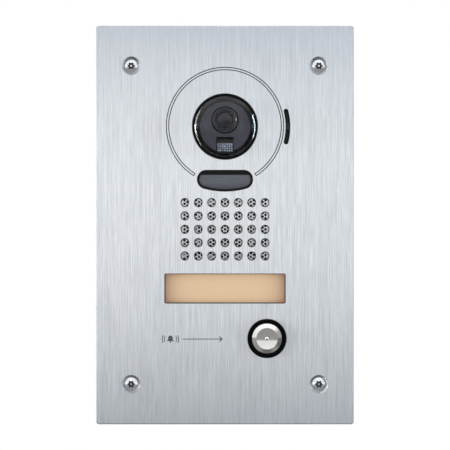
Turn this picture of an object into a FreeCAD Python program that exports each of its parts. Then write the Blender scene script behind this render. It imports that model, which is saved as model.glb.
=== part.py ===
import FreeCAD, Part
import math
import os

from FreeCAD import Vector

# Flush door intercom panel: camera, speaker, lit name plate and call button on a steel plate.
# Units are millimetres. +X is right and +Z is up as seen from the street. +Y runs into the wall.
# The origin is the middle of the plate's back face, at the centre of its four fixing screws.

# ---- driving dimensions ----------------------------------------------------------------------

# face plate
PLATE_W, PLATE_H, PLATE_T = 135.0, 209.0, 3.0
PLATE_CORNER_R = 1.5
PLATE_EDGE = 0.4
FRONT = -PLATE_T

# fixing screws, raised countersunk M4 with a pinned six-lobe socket, sunk below the plate's face
SCREW_DX, SCREW_DZ = 98.5, 167.0
SCREW_SHANK_R, SCREW_HOLE_R = 2.0, 2.3
SCREW_HEAD_R, SCREW_SINK_R = 3.5, 4.9
SCREW_RISE, SCREW_TIP = 0.95, 16.0
SCREW_UNDERCUT_R, SCREW_SHANK_Y = 1.7, -0.05
SOCKET_R, SOCKET_LOBE_R, SOCKET_DEPTH, SOCKET_PIN_R = 1.45, 0.5, 2.2, 0.55

# camera window, its arc of engraving and the tilt lever's slot
CAM_Z = 51.6
CAM_HOLE_R = 17.15
ARC_R_IN, ARC_R_OUT, ARC_LINE, ARC_DEPTH = 29.5, 30.75, 0.5, 0.35
ARC_Z, ARC_GAP_DEG = 51.9, 31.8
SLOT_R, SLOT_W, SLOT_DEG = 33.0, 2.5, 14.2
DOME_NECK_R, DOME_SPHERE_R, DOME_WALL = 15.9, 24.0, 1.1
DOME_FLANGE_R = 19.8
DOME_SEAL_T, DOME_FLANGE_T = 0.6, 1.5

# camera head, which tilts about an axis along X
HEAD_R, HEAD_EDGE, HEAD_WALL = 13.9, 0.7, 1.2
HEAD_FACE_Y, HEAD_SPLIT_Y, HEAD_BACK_Y = 0.3, 8.0, 12.5
PIVOT_Y, PIN_R = 5.2, 1.5
LENS_UP, LENS_GROOVE_R, LENS_RING_R, LENS_GLASS_R = 3.65, 7.3, 6.6, 4.4
LAMP_W, LAMP_TOP, LAMP_BOTTOM = 8.2, -8.5, -13.0
LAMP_SEAT_TOP, LAMP_SEAT_DEPTH = -5.3, 3.0
LAMP_COLUMNS, LAMP_ROWS = 7, 4

# tilt lever, which swings about the camera window's own axis
LEVER_Y0, LEVER_Y1 = 17.2, 19.2
LEVER_PEG_R_FROM_AXIS, LEVER_PEG_R = 7.7, 1.0
LEVER_BOSS_R = 3.0
FORK_GAP = 2.7

# sensor window, a D with its bowed side down
SENSE_W, SENSE_TOP, SENSE_BOTTOM = 29.4, 28.9, 17.5
SENSE_CORNER_R, SENSE_BOW_R = 4.85, 42.0
SENSE_FRAME, SENSE_HOOD_Z = 1.3, 26.3

# speaker grille
GRILLE_PITCH, GRILLE_COLUMNS, GRILLE_ROWS, GRILLE_Z = 7.0, 7, 5, -2.3
GRILLE_HOLE_R, GRILLE_BEVEL = 2.25, 0.2
MESH_W, MESH_H, MESH_T, MESH_HOLE_R = 47.0, 33.0, 0.5, 0.7
MESH_DX, MESH_DZ = 1.52, 1.92
SPEAKER_R = 18.0

# name plate
NAME_W, NAME_H, NAME_Z, NAME_CORNER_R = 63.6, 15.8, -33.3, 0.8
NAME_RECESS = 0.7
NAME_FLANGE_W, NAME_FLANGE_H = 67.0, 19.2
CARD_W, CARD_H, CARD_T, CARD_GAP, GUIDE_T = 66.0, 18.2, 0.3, 0.06, 3.44

# call button
BUTTON_X, BUTTON_Z = 22.0, -59.5
BEZEL_R, BEZEL_BARREL_R, BEZEL_BORE_R = 10.3, 9.2, 8.3
CAP_R, CAP_FLAT_R, CAP_FRONT_Y = 8.1, 5.6, -4.8
STEM_R, STEM_END_Y = 2.5, 13.2
BUTTON_TRAVEL = 1.5

# housing behind the plate
CASE_W, CASE_H, CASE_CORNER_R, CASE_WALL = 88.0, 158.0, 4.0, 2.0
GASKET_T = 1.0
CASE_FRONT_Y, CASE_FLOOR_Y, CASE_BACK_Y, COVER_BACK_Y = 1.0, 3.0, 26.0, 28.0
MIC_X, MIC_Z = -3 * GRILLE_PITCH, GRILLE_Z - 2 * GRILLE_PITCH
MIC_HOLE_R = 3.05
BOARD_Y, BOARD_T = 20.0, 1.6
BOARD_BACK_Y = BOARD_Y + BOARD_T

# screws, studs and pegs inside: their places as (x, z)
CORNERS = [(-1, -1), (-1, 1), (1, -1), (1, 1)]
STUDS = [(x, z) for x in (-38.5, 38.5) for z in (-73.0, -1.0, 73.0)]
STUD_R, STUD_TIP, NUT_AF, NUT_T = 1.5, 9.0, 5.5, 2.4
COVER_SCREWS = [(x, z) for x in (-39.0, 39.0) for z in (-58.0, 10.0, 60.0)]
BOARD_SCREWS = [(-31.0, -70.5), (32.0, -73.0), (-31.0, 16.0), (31.0, 16.0)]
BRACKET_EAR = 17.0
BRACKET_SCREWS = [(BRACKET_EAR * i, CAM_Z + BRACKET_EAR * j) for i, j in CORNERS]
BRACKET_EAR_Y0, BRACKET_EAR_Y1 = 6.0, 8.0
SPEAKER_EAR = 20.0 * math.sqrt(0.5)
SPEAKER_SCREWS = [(SPEAKER_EAR * i, GRILLE_Z + SPEAKER_EAR * j) for i, j in CORNERS]
SPEAKER_SEAT_Y = 4.0
PILOT_R = 1.05
SENSOR_PEG_X, SENSOR_PEG_Z = 12.0, 23.0
NAME_PEG_X = 35.6
PEG_R, PEG_POST_R = 0.7, 1.6
SENSOR_BOARD_Y, NAME_BOARD_Y, SMALL_BOARD_T = 5.0, 6.2, 1.2

# wiring terminal
TERM_X, TERM_Z, TERM_W, TERM_H, TERM_BACK_Y = -20.0, -60.5, 16.0, 11.0, 37.0
TERM_PITCH, TERM_WIRE_Y, TERM_WIRE_R, TERM_WIRE_LEN = 7.5, 31.0, 1.3, 8.0


# ---- shape helpers ---------------------------------------------------------------------------

def box(x0, x1, y0, y1, z0, z1):
    """A block between two corners."""
    return Part.makeBox(x1 - x0, y1 - y0, z1 - z0, Vector(x0, y0, z0))


def rod(x, z, r, y0, y1):
    """A cylinder along Y."""
    return Part.makeCylinder(r, y1 - y0, Vector(x, y0, z), Vector(0, 1, 0))


def cone(x, z, r0, y0, r1, y1):
    """A cone along Y, of radius r0 at y0 and r1 at y1."""
    return Part.makeCone(r0, r1, y1 - y0, Vector(x, y0, z), Vector(0, 1, 0))


def ring(x, z, r_out, r_in, y0, y1):
    """A tube along Y."""
    return rod(x, z, r_out, y0, y1).cut(rod(x, z, r_in, y0 - 1, y1 + 1))


def turned(x, z, profile):
    """A solid turned about the Y line through (x, z), from a closed profile of (radius, y) points."""
    points = [Vector(x + r, y, z) for r, y in profile]
    face = Part.Face(Part.makePolygon(points + points[:1]))
    return face.revolve(Vector(x, 0, z), Vector(0, 1, 0), 360)


def turned_edges(x, z, edges):
    """A solid turned from edges drawn with radius as X and depth as Y."""
    wire = Part.Wire(Part.__sortEdges__(edges))
    wire.translate(Vector(x, 0, z))
    return Part.Face(wire).revolve(Vector(x, 0, z), Vector(0, 1, 0), 360)


def fused(first, *rest):
    """One solid from several that meet."""
    return first.fuse(list(rest)).removeSplitter() if rest else first


def arc_edge(a, b, c):
    """An arc through three points given as (x, z)."""
    return Part.Arc(*[Vector(x, 0, z) for x, z in (a, b, c)]).toShape()


def line_edge(a, b):
    """A straight edge between two points given as (x, z)."""
    return Part.makeLine(Vector(a[0], 0, a[1]), Vector(b[0], 0, b[1]))


def on_circle(cx, cz, r, degrees):
    """The point (x, z) at an angle from +X towards +Z."""
    a = math.radians(degrees)
    return cx + r * math.cos(a), cz + r * math.sin(a)


def rounded_wire(cx, cz, w, h, r):
    """A rectangle in the plate's plane with round corners."""
    edges = []
    corners = [(cx + sx * (w / 2 - r), cz + sz * (h / 2 - r), start)
               for sx, sz, start in ((1, 1, 0), (-1, 1, 90), (-1, -1, 180), (1, -1, 270))]
    last = None
    first = None
    for x, z, start in corners:
        a, b, c = (on_circle(x, z, r, start + turn) for turn in (0, 45, 90))
        if last:
            edges.append(line_edge(last, a))
        else:
            first = a
        edges.append(arc_edge(a, b, c))
        last = c
    edges.append(line_edge(last, first))
    return Part.Wire(edges)


def circle_wire(x, z, r):
    """A circle in the plate's plane."""
    return Part.Wire(Part.makeCircle(r, Vector(x, 0, z), Vector(0, 1, 0)))


def sector_wire(cx, cz, r_in, r_out, start, end):
    """A band of a circle from one angle to another, with straight ends."""
    middle = (start + end) / 2
    a, b, c = (on_circle(cx, cz, r_out, t) for t in (start, middle, end))
    d, e, f = (on_circle(cx, cz, r_in, t) for t in (end, middle, start))
    return Part.Wire([arc_edge(a, b, c), line_edge(c, d), arc_edge(d, e, f), line_edge(f, a)])


def slot_wire(cx, cz, r, width, half_angle):
    """A slot along a circle, centred on +X, with round ends."""
    half = width / 2
    outer = [on_circle(cx, cz, r + half, t) for t in (-half_angle, 0, half_angle)]
    inner = [on_circle(cx, cz, r - half, t) for t in (half_angle, 0, -half_angle)]
    ends = []
    for sign in (1, -1):
        x, z = on_circle(cx, cz, r, sign * half_angle)
        ends.append(on_circle(x, z, half, sign * (half_angle + 90)))
    return Part.Wire([arc_edge(*outer), arc_edge(outer[2], ends[0], inner[0]),
                      arc_edge(*inner), arc_edge(inner[2], ends[1], outer[0])])


def sense_wire(grow):
    """The sensor window's outline, grown outward by a margin."""
    w, top, bottom = SENSE_W / 2 + grow, SENSE_TOP + grow, SENSE_BOTTOM - grow
    r, bow = SENSE_CORNER_R + grow, SENSE_BOW_R + grow
    x = w - r
    z_bow = bottom + bow
    z = z_bow - math.sqrt((bow - r) ** 2 - x ** 2)
    low = math.degrees(math.atan2(z - z_bow, x))
    right_low = on_circle(0, z_bow, bow, low)
    left_low = (-right_low[0], right_low[1])
    bend = on_circle(x, z, r, low / 2)
    turn = on_circle(x, top - r, r, 45)
    return Part.Wire([
        line_edge((-x, top), (x, top)),
        arc_edge((x, top), turn, (w, top - r)),
        line_edge((w, top - r), (w, z)),
        arc_edge((w, z), bend, right_low),
        arc_edge(right_low, (0, bottom), left_low),
        arc_edge(left_low, (-bend[0], bend[1]), (-w, z)),
        line_edge((-w, z), (-w, top - r)),
        arc_edge((-w, top - r), (-turn[0], turn[1]), (-x, top)),
    ])


def sheet(wire, y0, y1):
    """A flat piece of the wire's outline, from y0 to y1."""
    face = Part.Face(wire)
    face.translate(Vector(0, y0, 0))
    return face.extrude(Vector(0, y1 - y0, 0))


def sheet_with_holes(outline, holes, y0, y1):
    """A flat piece with every hole made in one go."""
    return sheet(outline, y0, y1).cut([sheet(h, y0 - 1, y1 + 1) for h in holes])


def hexagon(x, z, across_flats, y0, y1):
    """A hexagonal prism along Y."""
    r = across_flats / math.sqrt(3)
    points = [Vector(px, y0, pz) for px, pz in (on_circle(x, z, r, 60 * k) for k in range(7))]
    return Part.Face(Part.makePolygon(points)).extrude(Vector(0, y1 - y0, 0))


def pan_screw(x, z, head_r, head_h, shank_r, y_seat, length):
    """A pan-head screw driven towards -Y, its head's underside at y_seat, with a cross socket."""
    edge = head_h * 0.35
    head = rod(x, z, head_r, y_seat, y_seat + edge).fuse(
        cone(x, z, head_r, y_seat + edge, head_r * 0.72, y_seat + head_h))
    body = fused(head, rod(x, z, shank_r, y_seat - length + shank_r, y_seat),
                 cone(x, z, shank_r * 0.25, y_seat - length, shank_r, y_seat - length + shank_r))
    arm, blade = head_r * 0.5, head_r * 0.11
    top = y_seat + head_h
    for half_x, half_z in ((arm, blade), (blade, arm)):
        body = body.cut(box(x - half_x, x + half_x, top - head_h * 0.6, top + 1, z - half_z, z + half_z))
    return body


def helix_spring(x, z, mean_r, wire_r, y0, y1, turns):
    """A compression spring along Y with its wire between y0 and y1."""
    height = y1 - y0 - 2 * wire_r
    path = Part.makeHelix(height / turns, height, mean_r)
    profile = Part.Wire(Part.makeCircle(wire_r, Vector(mean_r, 0, 0), Vector(0, 1, 0)))
    spring = Part.Wire(path).makePipeShell([profile], True, True)
    spring.rotate(Vector(0, 0, 0), Vector(1, 0, 0), -90)
    spring.translate(Vector(x, y0 + wire_r, z))
    return spring


def rounded_path(points, share):
    """Straight runs through the points, joined by arcs that take this share of the shorter run."""
    edges = []
    start = points[0]
    for before, here, after in zip(points, points[1:], points[2:]):
        back, ahead = (before - here).normalize(), (after - here).normalize()
        half_turn = (math.pi - back.getAngle(ahead)) / 2
        trim = share * min((here - before).Length, (after - here).Length)
        bend_r = trim / math.tan(half_turn)
        a, b = here + back * trim, here + ahead * trim
        middle = here + (back + ahead).normalize() * (bend_r / math.cos(half_turn) - bend_r)
        edges += [Part.makeLine(start, a), Part.Arc(a, middle, b).toShape()]
        start = b
    edges.append(Part.makeLine(start, points[-1]))
    return Part.Wire(edges)


def round_wire(points, r):
    """A round lead of radius r through the points."""
    corners = [Vector(*p) for p in points]
    profile = Part.Wire(Part.makeCircle(r, corners[0], (corners[1] - corners[0]).normalize()))
    return rounded_path(corners, 0.45).makePipeShell([profile], True, False)


def save(name, *solids):
    """Writes one node. Several solids go in one compound."""
    shape = solids[0] if len(solids) == 1 else Part.makeCompound(list(solids))
    found = shape.Solids
    if not all(s.isValid() and s.Volume > 0 for s in found):
        raise ValueError(name + " has a bad solid")
    if len(found) == 1:
        shape = found[0]
    shape.exportStep("parts/" + name + ".step")
    print(f"{name}: {len(found)} solid(s), {sum(s.Volume for s in found):.1f} mm3")


# ---- face plate and its fixings --------------------------------------------------------------

def screw_places():
    return [(x, z) for x in (-SCREW_DX / 2, SCREW_DX / 2) for z in (-SCREW_DZ / 2, SCREW_DZ / 2)]


def grille_places():
    left = -GRILLE_PITCH * (GRILLE_COLUMNS - 1) / 2
    low = GRILLE_Z - GRILLE_PITCH * (GRILLE_ROWS - 1) / 2
    return [(left + GRILLE_PITCH * i, low + GRILLE_PITCH * j)
            for i in range(GRILLE_COLUMNS) for j in range(GRILLE_ROWS)]


def engraved_arc():
    """A band round the camera, cut as one thin outline, that stops above the sensor window."""
    half = ARC_LINE / 2
    start, end = -90 + ARC_GAP_DEG, 270 - ARC_GAP_DEG
    trim = math.degrees(ARC_LINE / ARC_R_OUT)
    outer = sheet(sector_wire(0, ARC_Z, ARC_R_IN - half, ARC_R_OUT + half, start, end),
                  FRONT - 1, FRONT + ARC_DEPTH)
    inner = sheet(sector_wire(0, ARC_Z, ARC_R_IN + half, ARC_R_OUT - half, start + trim, end - trim),
                  FRONT - 2, FRONT + 1)
    return outer.cut(inner)


def engraved_mark():
    """A plain bell with a line that points to the call button."""
    x, z, stroke, depth = -28.6, BUTTON_Z - 0.3, 0.42, 0.22
    y0, y1 = FRONT - 1, FRONT + depth
    bell = Part.Wire([
        line_edge((x - 1.9, z - 1.1), (x + 1.9, z - 1.1)),
        line_edge((x + 1.9, z - 1.1), (x + 1.2, z - 0.3)),
        line_edge((x + 1.2, z - 0.3), (x + 1.2, z + 0.6)),
        arc_edge((x + 1.2, z + 0.6), (x, z + 1.8), (x - 1.2, z + 0.6)),
        line_edge((x - 1.2, z + 0.6), (x - 1.2, z - 0.3)),
        line_edge((x - 1.2, z - 0.3), (x - 1.9, z - 1.1)),
    ])
    marks = [sheet(bell, y0, y1), rod(x, z - 1.6, 0.4, y0, y1)]
    for r in (3.0, 4.1):
        for middle in (0, 180):
            marks.append(sheet(sector_wire(x, z, r, r + stroke, middle - 28, middle + 28), y0, y1))
    line_start, line_end, barb = x + 6.4, x + 27.4, 1.5
    marks.append(box(line_start, line_end - 0.2, y0, y1, z - stroke / 2, z + stroke / 2))
    for side in (-1, 1):
        tip = [(line_end, z), (line_end - barb, z + side * barb),
               (line_end - barb - stroke, z + side * (barb - stroke * 0.4)), (line_end - 2.2 * stroke, z)]
        marks.append(sheet(Part.makePolygon([Vector(px, 0, pz) for px, pz in tip + tip[:1]]), y0, y1))
    return marks


def front_plate():
    """Brushed steel, with every opening the front needs."""
    holes = [circle_wire(0, CAM_Z, CAM_HOLE_R), slot_wire(0, CAM_Z, SLOT_R, SLOT_W, SLOT_DEG),
             sense_wire(0), rounded_wire(0, NAME_Z, NAME_W, NAME_H, NAME_CORNER_R),
             circle_wire(BUTTON_X, BUTTON_Z, BEZEL_BARREL_R + 0.15)]
    holes += [circle_wire(x, z, GRILLE_HOLE_R) for x, z in grille_places()]
    holes += [circle_wire(x, z, SCREW_HOLE_R) for x, z in screw_places()]
    blank = sheet(rounded_wire(0, 0, PLATE_W, PLATE_H, PLATE_CORNER_R), FRONT, 0)
    rim = [e for e in blank.Edges if all(abs(v.Point.y - FRONT) < 1e-6 for v in e.Vertexes)]
    blank = blank.makeChamfer(PLATE_EDGE, rim)
    cuts = [sheet(h, FRONT - 1, 1) for h in holes]
    rim_r, bevel = GRILLE_HOLE_R + 2 * GRILLE_BEVEL, GRILLE_BEVEL
    cuts += [cone(x, z, rim_r, FRONT - bevel, GRILLE_HOLE_R, FRONT + bevel) for x, z in grille_places()]
    sink = SCREW_SINK_R - SCREW_HOLE_R
    cuts += [cone(x, z, SCREW_SINK_R, FRONT, SCREW_HOLE_R, FRONT + sink) for x, z in screw_places()]
    cuts += [cone(0, CAM_Z, CAM_HOLE_R + 0.6, FRONT - 0.3, CAM_HOLE_R, FRONT + 0.3)]
    cuts += [engraved_arc()] + engraved_mark()
    return blank.cut(cuts)


def tamper_screw(x, z):
    """Raised countersunk screw with a six-lobe socket round a pin."""
    seat = FRONT + (SCREW_SINK_R - SCREW_HEAD_R) - 0.05
    dome_r = (SCREW_HEAD_R ** 2 + SCREW_RISE ** 2) / (2 * SCREW_RISE)
    dome = Part.makeSphere(dome_r, Vector(x, seat - SCREW_RISE + dome_r, z))
    dome = dome.common(rod(x, z, SCREW_HEAD_R, seat - SCREW_RISE - 1, seat))
    neck = seat + SCREW_HEAD_R - SCREW_SHANK_R
    body = fused(dome, cone(x, z, SCREW_HEAD_R, seat, SCREW_SHANK_R, neck),
                 rod(x, z, SCREW_UNDERCUT_R, neck, SCREW_SHANK_Y),
                 rod(x, z, SCREW_SHANK_R, SCREW_SHANK_Y, SCREW_TIP - 1),
                 cone(x, z, SCREW_SHANK_R, SCREW_TIP - 1, SCREW_SHANK_R - 0.7, SCREW_TIP))
    top = seat - SCREW_RISE
    socket = rod(x, z, SOCKET_R, top - 1, top + SOCKET_DEPTH)
    lobes = [rod(*on_circle(x, z, SOCKET_R, 60 * k), SOCKET_LOBE_R, top - 1, top + SOCKET_DEPTH)
             for k in range(6)]
    socket = socket.fuse(lobes).cut(rod(x, z, SOCKET_PIN_R, top - 2, top + SOCKET_DEPTH + 1))
    return body.cut(socket).cut(rod(x, z, SOCKET_PIN_R + 0.1, top - 1, top + 0.25))


def make_plate_group():
    save("front_plate", front_plate())
    save("tamper_screws", *[tamper_screw(x, z) for x, z in screw_places()])
    ring_w, inset = 5.0, 2.0
    outline = rounded_wire(0, 0, PLATE_W - 2 * inset, PLATE_H - 2 * inset, 2.0)
    opening = rounded_wire(0, 0, PLATE_W - 2 * inset - 2 * ring_w, PLATE_H - 2 * inset - 2 * ring_w, 1.0)
    save("wall_gasket", sheet_with_holes(outline, [opening], 0, 1.5))
    end_y = STUD_TIP - 0.5
    tip_r = STUD_R - 0.4
    save("weld_studs", *[fused(rod(x, z, STUD_R, 0, end_y), cone(x, z, STUD_R, end_y, tip_r, STUD_TIP))
                         for x, z in STUDS])
    nut_y = CASE_FLOOR_Y + NUT_T
    save("stud_nuts", *[hexagon(x, z, NUT_AF, CASE_FLOOR_Y, nut_y).cut(rod(x, z, STUD_R + 0.05, 0, 9))
                        for x, z in STUDS])


# ---- housing ---------------------------------------------------------------------------------

def chassis_posts():
    """Bosses, locating pegs and side ribs that rise from the housing's floor."""
    root = CASE_FLOOR_Y - 0.5
    posts = [rod(x, z, 3.4, root, CASE_BACK_Y) for x, z in COVER_SCREWS]
    posts += [rod(x, z, 2.5, root, BOARD_Y) for x, z in BOARD_SCREWS]
    posts += [rod(x, z, 2.6, root, BRACKET_EAR_Y0) for x, z in BRACKET_SCREWS]
    posts += [rod(x, z, 1.85, root, SPEAKER_SEAT_Y) for x, z in SPEAKER_SCREWS]
    for peg_x, z, seat in ((SENSOR_PEG_X, SENSOR_PEG_Z, SENSOR_BOARD_Y),
                           (NAME_PEG_X, NAME_Z, NAME_BOARD_Y)):
        for x in (-peg_x, peg_x):
            posts += [rod(x, z, PEG_POST_R, root, seat), rod(x, z, PEG_R, seat - 0.5, seat + 2.0)]
    wall, rib_w, rib_top = CASE_W / 2 - CASE_WALL, 1.5, 16.0
    for x in (-wall, wall - rib_w):
        for z in (-44.0, -15.0, 38.0):
            posts.append(box(x, x + rib_w, root, rib_top, z - rib_w / 2, z + rib_w / 2))
    return posts


def chassis_openings():
    """Screw pilots and everything the housing's floor is opened for."""
    cuts = [rod(x, z, PILOT_R, CASE_BACK_Y - 12, CASE_BACK_Y + 1) for x, z in COVER_SCREWS]
    cuts += [rod(x, z, PILOT_R + 0.3, 14.0, CASE_BACK_Y + 1) for x, z in COVER_SCREWS]
    cuts += [rod(x, z, PILOT_R, BOARD_Y - 6, BOARD_Y + 1) for x, z in BOARD_SCREWS]
    cuts += [rod(x, z, PILOT_R, 1.5, BRACKET_EAR_Y0 + 1) for x, z in BRACKET_SCREWS]
    cuts += [rod(x, z, PILOT_R, -1.0, SPEAKER_SEAT_Y + 1) for x, z in SPEAKER_SCREWS]
    low, high = 0.0, CASE_FLOOR_Y + 1
    cuts += [rod(x, z, STUD_R + 0.2, low, high) for x, z in STUDS]
    cuts += [rod(0, CAM_Z, DOME_FLANGE_R + 0.2, low, high),
             sheet(slot_wire(0, CAM_Z, SLOT_R, SLOT_W + 0.4, SLOT_DEG + 3.3), low, high),
             sheet(sense_wire(-1.2), low, high),
             rod(0, GRILLE_Z, SPEAKER_R - 1.5, low, high),
             sheet(rounded_wire(0, GRILLE_Z, MESH_W, MESH_H, 1.5), low, CASE_FRONT_Y + 1),
             rod(MIC_X, MIC_Z, MIC_HOLE_R, low, high),
             box(-CARD_W / 2 - 0.2, CARD_W / 2 + 0.2, low, high,
                 NAME_Z - CARD_H / 2 - 0.2, NAME_Z + CARD_H / 2 + 0.2),
             rod(BUTTON_X, BUTTON_Z, BEZEL_BARREL_R + 0.2, low, high)]
    return cuts


def chassis():
    """The moulded tub behind the plate, open at the back."""
    tub = sheet(rounded_wire(0, 0, CASE_W, CASE_H, CASE_CORNER_R), CASE_FRONT_Y, CASE_BACK_Y)
    inner = rounded_wire(0, 0, CASE_W - 2 * CASE_WALL, CASE_H - 2 * CASE_WALL, CASE_CORNER_R - CASE_WALL)
    tub = tub.cut(sheet(inner, CASE_FLOOR_Y, CASE_BACK_Y + 1))
    return tub.fuse(chassis_posts()).cut(chassis_openings())


def chassis_gasket():
    """Foam sheet between plate and housing, cleared round everything that reaches the plate."""
    holes = [circle_wire(0, CAM_Z, DOME_FLANGE_R + 0.4),
             sector_wire(0, CAM_Z, 29.6, 36.6, -36, 36),
             sense_wire(1.9), rounded_wire(0, GRILLE_Z, MESH_W + 0.6, MESH_H + 0.6, 1.5),
             rounded_wire(0, NAME_Z, NAME_FLANGE_W + 0.4, NAME_FLANGE_H + 0.4, 1.0),
             circle_wire(BUTTON_X, BUTTON_Z, BEZEL_BARREL_R + 0.3)]
    holes += [circle_wire(x, z, STUD_R + 0.3) for x, z in STUDS]
    outline = rounded_wire(0, 0, CASE_W, CASE_H, CASE_CORNER_R)
    return sheet_with_holes(outline, holes, 0, GASKET_T)


def rear_cover():
    """Back lid with stiffening ribs and an opening for the wiring terminal."""
    lid = sheet(rounded_wire(0, 0, CASE_W, CASE_H, CASE_CORNER_R), CASE_BACK_Y, COVER_BACK_Y)
    rim = [e for e in lid.Edges if all(abs(v.Point.y - COVER_BACK_Y) < 1e-6 for v in e.Vertexes)]
    lid = lid.makeChamfer(0.6, rim)
    adds = [box(-30, 30, CASE_BACK_Y - 2.5, CASE_BACK_Y + 0.5, z - 0.75, z + 0.75) for z in (-75.9, 75.9)]
    adds += [box(-30.0, 30.0, COVER_BACK_Y - 0.5, COVER_BACK_Y + 0.8, z - 0.75, z + 0.75)
             for z in (70.0, 50.0, 30.0, -2.0, -22.0)]
    frame = sheet_with_holes(rounded_wire(TERM_X, TERM_Z, TERM_W + 6, TERM_H + 6, 1.5),
                             [rounded_wire(TERM_X, TERM_Z, TERM_W + 3, TERM_H + 3, 0.8)],
                             COVER_BACK_Y - 0.5, COVER_BACK_Y + 0.8)
    lid = lid.fuse(adds + [frame])
    cuts = [rod(x, z, 1.6, 20, 30) for x, z in COVER_SCREWS]
    cuts += [box(TERM_X - TERM_W / 2 - 0.4, TERM_X + TERM_W / 2 + 0.4, 20, 30,
                 TERM_Z - TERM_H / 2 - 0.4, TERM_Z + TERM_H / 2 + 0.4)]
    cuts += [sheet(rounded_wire(0, 14.0, 50.0, 22.0, 1.0), COVER_BACK_Y - 0.3, COVER_BACK_Y + 1)]
    return lid.cut(cuts).removeSplitter()


def make_housing_group():
    save("chassis", chassis())
    save("chassis_gasket", chassis_gasket())
    save("rear_cover", rear_cover())
    save("cover_screws", *[pan_screw(x, z, 2.8, 1.9, 1.3, COVER_BACK_Y, 12.0) for x, z in COVER_SCREWS])
    inner = []
    for places, seat, length in ((BRACKET_SCREWS, BRACKET_EAR_Y1, 4.8),
                                 (SPEAKER_SCREWS, SPEAKER_SEAT_Y, 3.2),
                                 (BOARD_SCREWS, BOARD_BACK_Y, 4.8)):
        inner += [pan_screw(x, z, 2.6, 1.6, 1.0, seat, length) for x, z in places]
    save("inner_screws", *inner)


# ---- camera ----------------------------------------------------------------------------------

def dome_window():
    """Clear dome with a clamped flange. Its cap starts level with the plate's front."""
    neck_y = FRONT - 0.2
    flange_y0, flange_y1 = DOME_SEAL_T, DOME_SEAL_T + DOME_FLANGE_T
    centre_y = neck_y + math.sqrt(DOME_SPHERE_R ** 2 - DOME_NECK_R ** 2)
    inner_r, inner_neck = DOME_SPHERE_R - DOME_WALL, DOME_NECK_R - DOME_WALL

    def sphere_y(radius, r):
        return centre_y - math.sqrt(radius ** 2 - r ** 2)

    def arc(radius, r):
        a, b, c = ((q, sphere_y(radius, q)) for q in (r, r * 0.5, 0))
        return Part.Arc(*[Vector(q, y, 0) for q, y in (a, b, c)]).toShape()

    def run(*points):
        vectors = [Vector(r, y, 0) for r, y in points]
        return [Part.makeLine(p, q) for p, q in zip(vectors, vectors[1:])]

    edges = [arc(DOME_SPHERE_R, DOME_NECK_R), arc(inner_r, inner_neck)]
    edges += run((0, sphere_y(DOME_SPHERE_R, 0)), (0, sphere_y(inner_r, 0)))
    edges += run((inner_neck, sphere_y(inner_r, inner_neck)), (inner_neck, flange_y1),
                 (DOME_FLANGE_R, flange_y1), (DOME_FLANGE_R, flange_y0), (DOME_NECK_R, flange_y0),
                 (DOME_NECK_R, neck_y))
    return turned_edges(0, CAM_Z, edges)


def dome_seal():
    """Rubber ring: a sleeve between dome and plate, with a flange behind the plate."""
    sleeve_r = CAM_HOLE_R - 0.05
    lip = FRONT - 0.1
    profile = [(DOME_NECK_R, DOME_SEAL_T), (DOME_NECK_R, lip + 0.2), (DOME_NECK_R + 0.25, lip),
               (sleeve_r - 0.25, lip), (sleeve_r, lip + 0.25), (sleeve_r, 0),
               (DOME_FLANGE_R, 0), (DOME_FLANGE_R, DOME_SEAL_T)]
    return turned(0, CAM_Z, profile)


def camera_bracket():
    """Clamps the dome, carries the head between two cheeks and the lever on its back wall."""
    y_clamp = DOME_SEAL_T + DOME_FLANGE_T
    inner, clamp_r, outer = 15.1, DOME_FLANGE_R - 0.1, 22.0
    frame = turned(0, CAM_Z, [(inner, y_clamp), (clamp_r, y_clamp), (clamp_r, CASE_FLOOR_Y),
                              (outer, CASE_FLOOR_Y), (outer, BRACKET_EAR_Y1), (19.6, BRACKET_EAR_Y1),
                              (19.6, 5.0), (inner, 5.0)])
    adds = [rod(x, z, 3.2, BRACKET_EAR_Y0, BRACKET_EAR_Y1) for x, z in BRACKET_SCREWS]
    cheek_in, cheek_out, half = 15.3, 18.2, 10.0
    adds += [box(min(s * cheek_in, s * cheek_out), max(s * cheek_in, s * cheek_out), 4.0, 22.5,
                 CAM_Z - half, CAM_Z + half) for s in (-1, 1)]
    adds += [box(-cheek_out, cheek_out, 20.5, 22.5, CAM_Z - half, CAM_Z + half)]
    body = frame.fuse(adds)
    cuts = [rod(x, z, 1.3, BRACKET_EAR_Y0 - 1, BRACKET_EAR_Y1 + 1) for x, z in BRACKET_SCREWS]
    cuts += [rod(x, z, 2.7, 2, BRACKET_EAR_Y0) for x, z in BRACKET_SCREWS]
    cuts += [Part.makeCylinder(PIN_R + 0.05, 60, Vector(-30, PIVOT_Y, CAM_Z), Vector(1, 0, 0))]
    cuts += [rod(0, CAM_Z, LEVER_BOSS_R + 0.05, 20, 23)]
    cuts += [box(cheek_in - 1, cheek_out + 1, LEVER_Y0 - 0.6, LEVER_Y1 + 0.6, CAM_Z - 7.4, CAM_Z + 7.4)]
    cuts += [rod(0, CAM_Z, inner, 3, 20)]
    return body.cut(cuts).removeSplitter()


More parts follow.
